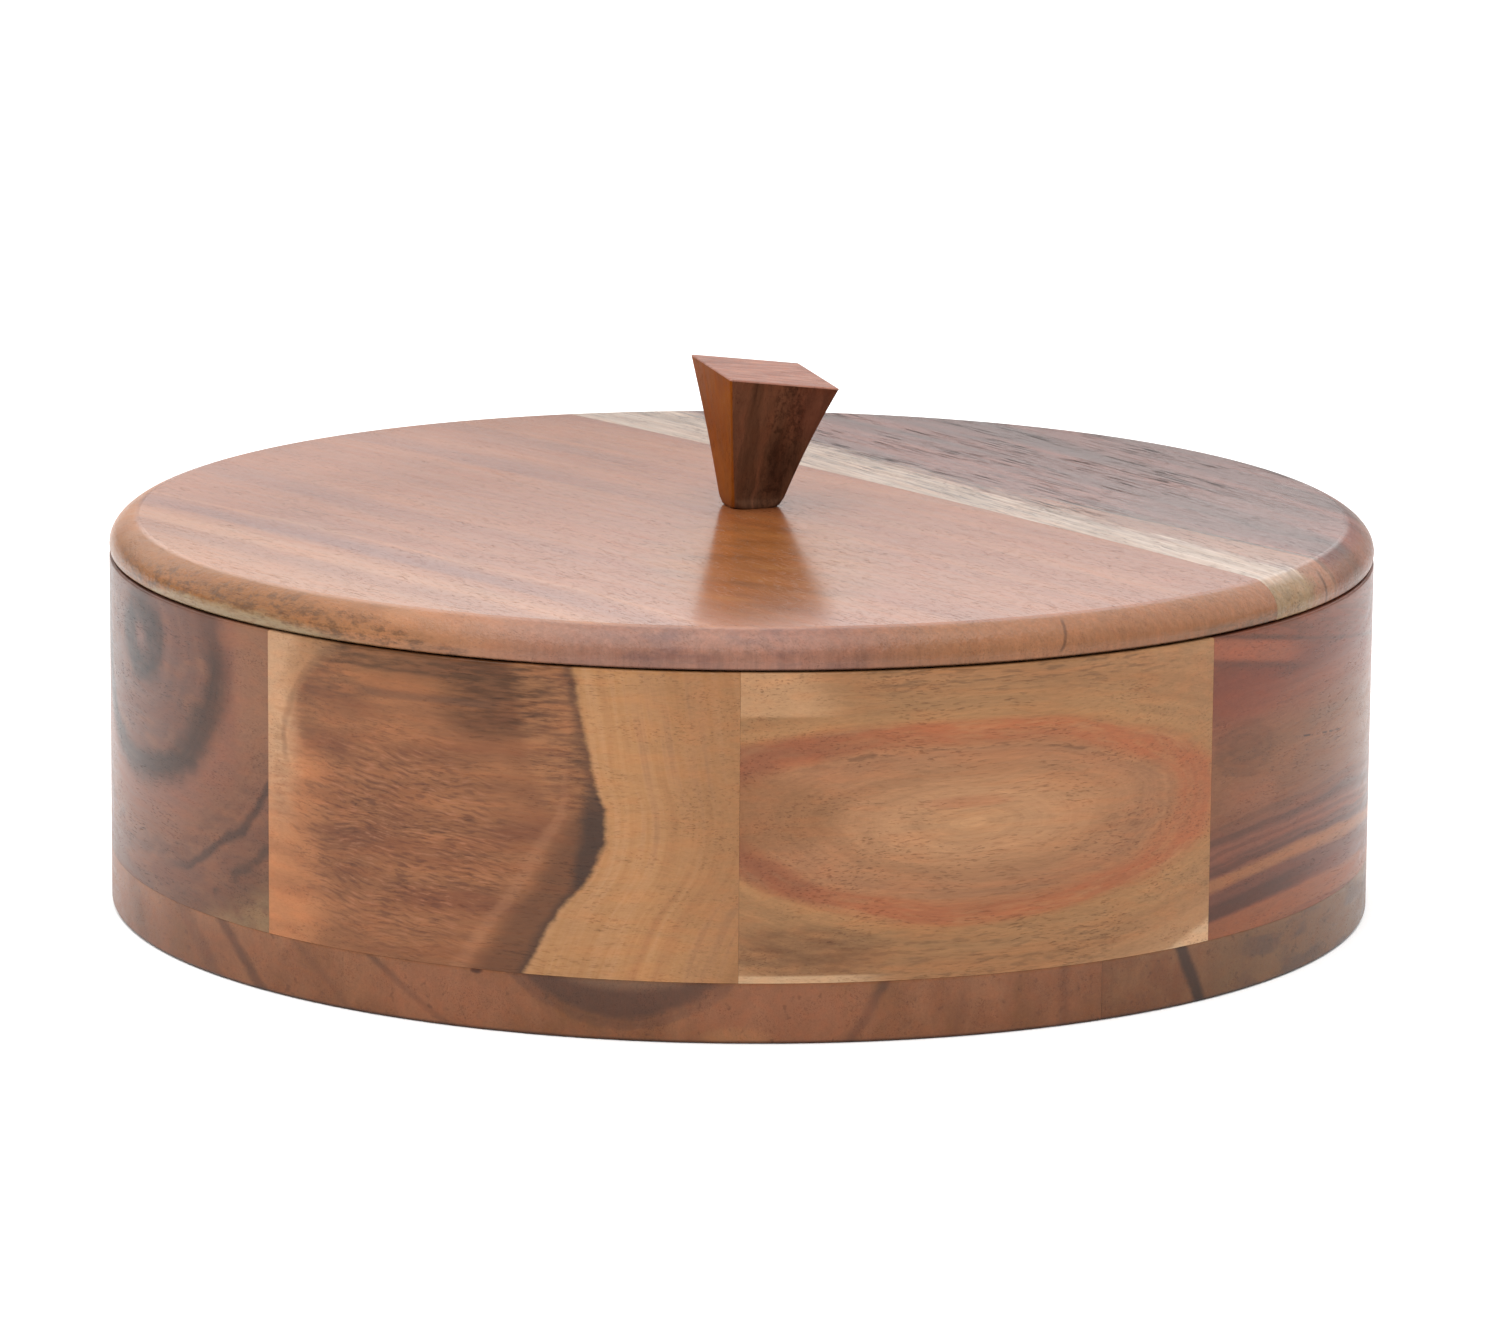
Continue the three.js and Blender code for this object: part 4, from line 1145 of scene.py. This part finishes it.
def build_spoon():
    bowl, handle, tail, across = 34, 26, 10, 14
    straight = SPOON_LENGTH - SPOON_HANDLE_WIDTH / 2
    rows = [SPOON_BOWL_LENGTH * (1 - cos(pi * i / bowl)) / 2 for i in range(bowl)]
    rows += [SPOON_BOWL_LENGTH + (straight - SPOON_BOWL_LENGTH) * i / handle for i in range(handle)]
    rows += [straight + SPOON_HANDLE_WIDTH / 2 * sin(pi / 2 * i / tail) for i in range(tail + 1)]
    points = []
    for side in (0, -SPOON_THICKNESS):
        for s in rows:
            half, depth = spoon_section(s)
            for j in range(across + 1):
                t = sin(pi / 2 * (2 * j / across - 1))
                points.append(Vector((t * half, s, side - depth * (1 - t * t))))
    wide = across + 1
    under = len(rows) * wide
    faces = []
    for i in range(len(rows) - 1):
        a, b = i * wide, (i + 1) * wide
        for j in range(across):
            faces.append((a + j, a + j + 1, b + j + 1, b + j))
            faces.append((under + a + j, under + b + j, under + b + j + 1, under + a + j + 1))
        faces.append((a, b, under + b, under + a))
        faces.append((a + across, under + a + across, under + b + across, b + across))
    last = (len(rows) - 1) * wide
    for j in range(across):
        faces.append((j, under + j, under + j + 1, j + 1))
        faces.append((last + j, last + j + 1, under + last + j + 1, under + last + j))
    place = Matrix.Translation(SPOON_TIP) @ Matrix.Rotation(SPOON_LEAN, 4, "X")
    mesh = mesh_from("spoon", [place @ p for p in points], faces)
    outward(mesh)
    material = steel("steel_spoon", "cfcfce", 0.16)
    obj = piece("steel_spoon", mesh, "spoon", material, ["spoon"], sharp=60)
    round_off = obj.modifiers.new("round", "SUBSURF")
    round_off.levels = 1
    round_off.render_levels = 1


# ---- Studio ----
def build_stage():
    reach = 8.0
    corners = [(-reach, -reach, 0), (reach, -reach, 0), (reach, reach, 0), (-reach, reach, 0)]
    mesh = mesh_from("floor", corners, [(0, 1, 2, 3)])
    s = Shader("floor_paper")
    grain = s.noise(s.x / 4, s.y / 4, 0.0, detail=2)
    s.colour = linear("fafafa")
    s.shade(0.985 + grain * 0.03)
    mesh.materials.append(s.surface(0.9, specular=0.1))
    floor = bpy.data.objects.new("floor", mesh)
    bpy.context.scene.collection.objects.link(floor)


def build_light():
    """A white studio: a broad lamp overhead, a backdrop that brightens upwards and a dimmer camera side."""
    world = bpy.data.worlds.new("studio")
    bpy.context.scene.world = world
    world.use_nodes = True
    tree = world.node_tree
    tree.nodes.clear()
    direction = tree.nodes.new("ShaderNodeTexCoord").outputs["Generated"]
    split = tree.nodes.new("ShaderNodeSeparateXYZ")
    tree.links.new(split.inputs[0], direction)
    backdrop = graded(tree, split.outputs["Z"], 0.16, 0.235, 0.38, 1.75)
    front = graded(tree, split.outputs["Z"], 0.1, 0.9, 0.6, 1.15)
    behind = graded(tree, split.outputs["Y"], -0.35, 0.45, 0.0, 1.0)
    blend = tree.nodes.new("ShaderNodeMix")
    for slot, value in zip((0, 2, 3), (behind, front, backdrop)):
        tree.links.new(blend.inputs[slot], value)
    seen = tree.nodes.new("ShaderNodeBackground")
    shine = tree.nodes.new("ShaderNodeBackground")
    for background in (seen, shine):
        background.inputs["Color"].default_value = (1, 1, 1, 1)
    tree.links.new(shine.inputs["Strength"], blend.outputs[0])
    choice = tree.nodes.new("ShaderNodeMixShader")
    tree.links.new(choice.inputs[0], tree.nodes.new("ShaderNodeLightPath").outputs["Is Camera Ray"])
    tree.links.new(choice.inputs[1], shine.outputs[0])
    tree.links.new(choice.inputs[2], seen.outputs[0])
    output = tree.nodes.new("ShaderNodeOutputWorld")
    tree.links.new(output.inputs[0], choice.outputs[0])
    add_lamp("overhead", (-0.15, -0.35, 2.2), 2.4, 44)


def graded(tree, value, start, end, low, high):
    """A soft step from low to high as value goes from start to end."""
    node = tree.nodes.new("ShaderNodeMapRange")
    node.interpolation_type = "SMOOTHSTEP"
    tree.links.new(node.inputs[0], value)
    for slot, number in zip(node.inputs[1:5], (start, end, low, high)):
        slot.default_value = number
    return node.outputs[0]


def add_lamp(name, place, size, power):
    light = bpy.data.lights.new(name, "AREA")
    light.size = size
    light.energy = power
    lamp = bpy.data.objects.new(name, light)
    lamp.location = place
    lamp.rotation_euler = (Vector((0, 0, 0.05)) - Vector(place)).to_track_quat("-Z", "Y").to_euler()
    bpy.context.scene.collection.objects.link(lamp)


def build_camera():
    """A long lens, a little above the lid, looking straight at the front."""
    distance = 1.4285
    elevation = radians(11.62)
    roll = radians(0.48)
    target = Vector((0, 0, 0.040))
    place = target + Vector((0, -distance * cos(elevation), distance * sin(elevation)))
    aim = Vector((0.00175, 0.001, 0.04503))
    camera_data = bpy.data.cameras.new("camera")
    camera_data.lens = 179.4
    camera_data.sensor_width = 36
    camera_data.clip_start = 0.05
    camera_data.clip_end = 50
    camera = bpy.data.objects.new("camera", camera_data)
    turn = (aim - place).to_track_quat("-Z", "Y").to_matrix().to_4x4() @ Matrix.Rotation(roll, 4, "Z")
    camera.matrix_world = Matrix.Translation(place) @ turn
    bpy.context.scene.collection.objects.link(camera)
    bpy.context.scene.camera = camera


bpy.context.scene.view_settings.view_transform = "Standard"
build_base()
build_wall()
build_lid()
build_knob()
build_screw()
build_cups()
build_spoon()
build_stage()
build_light()
build_camera()
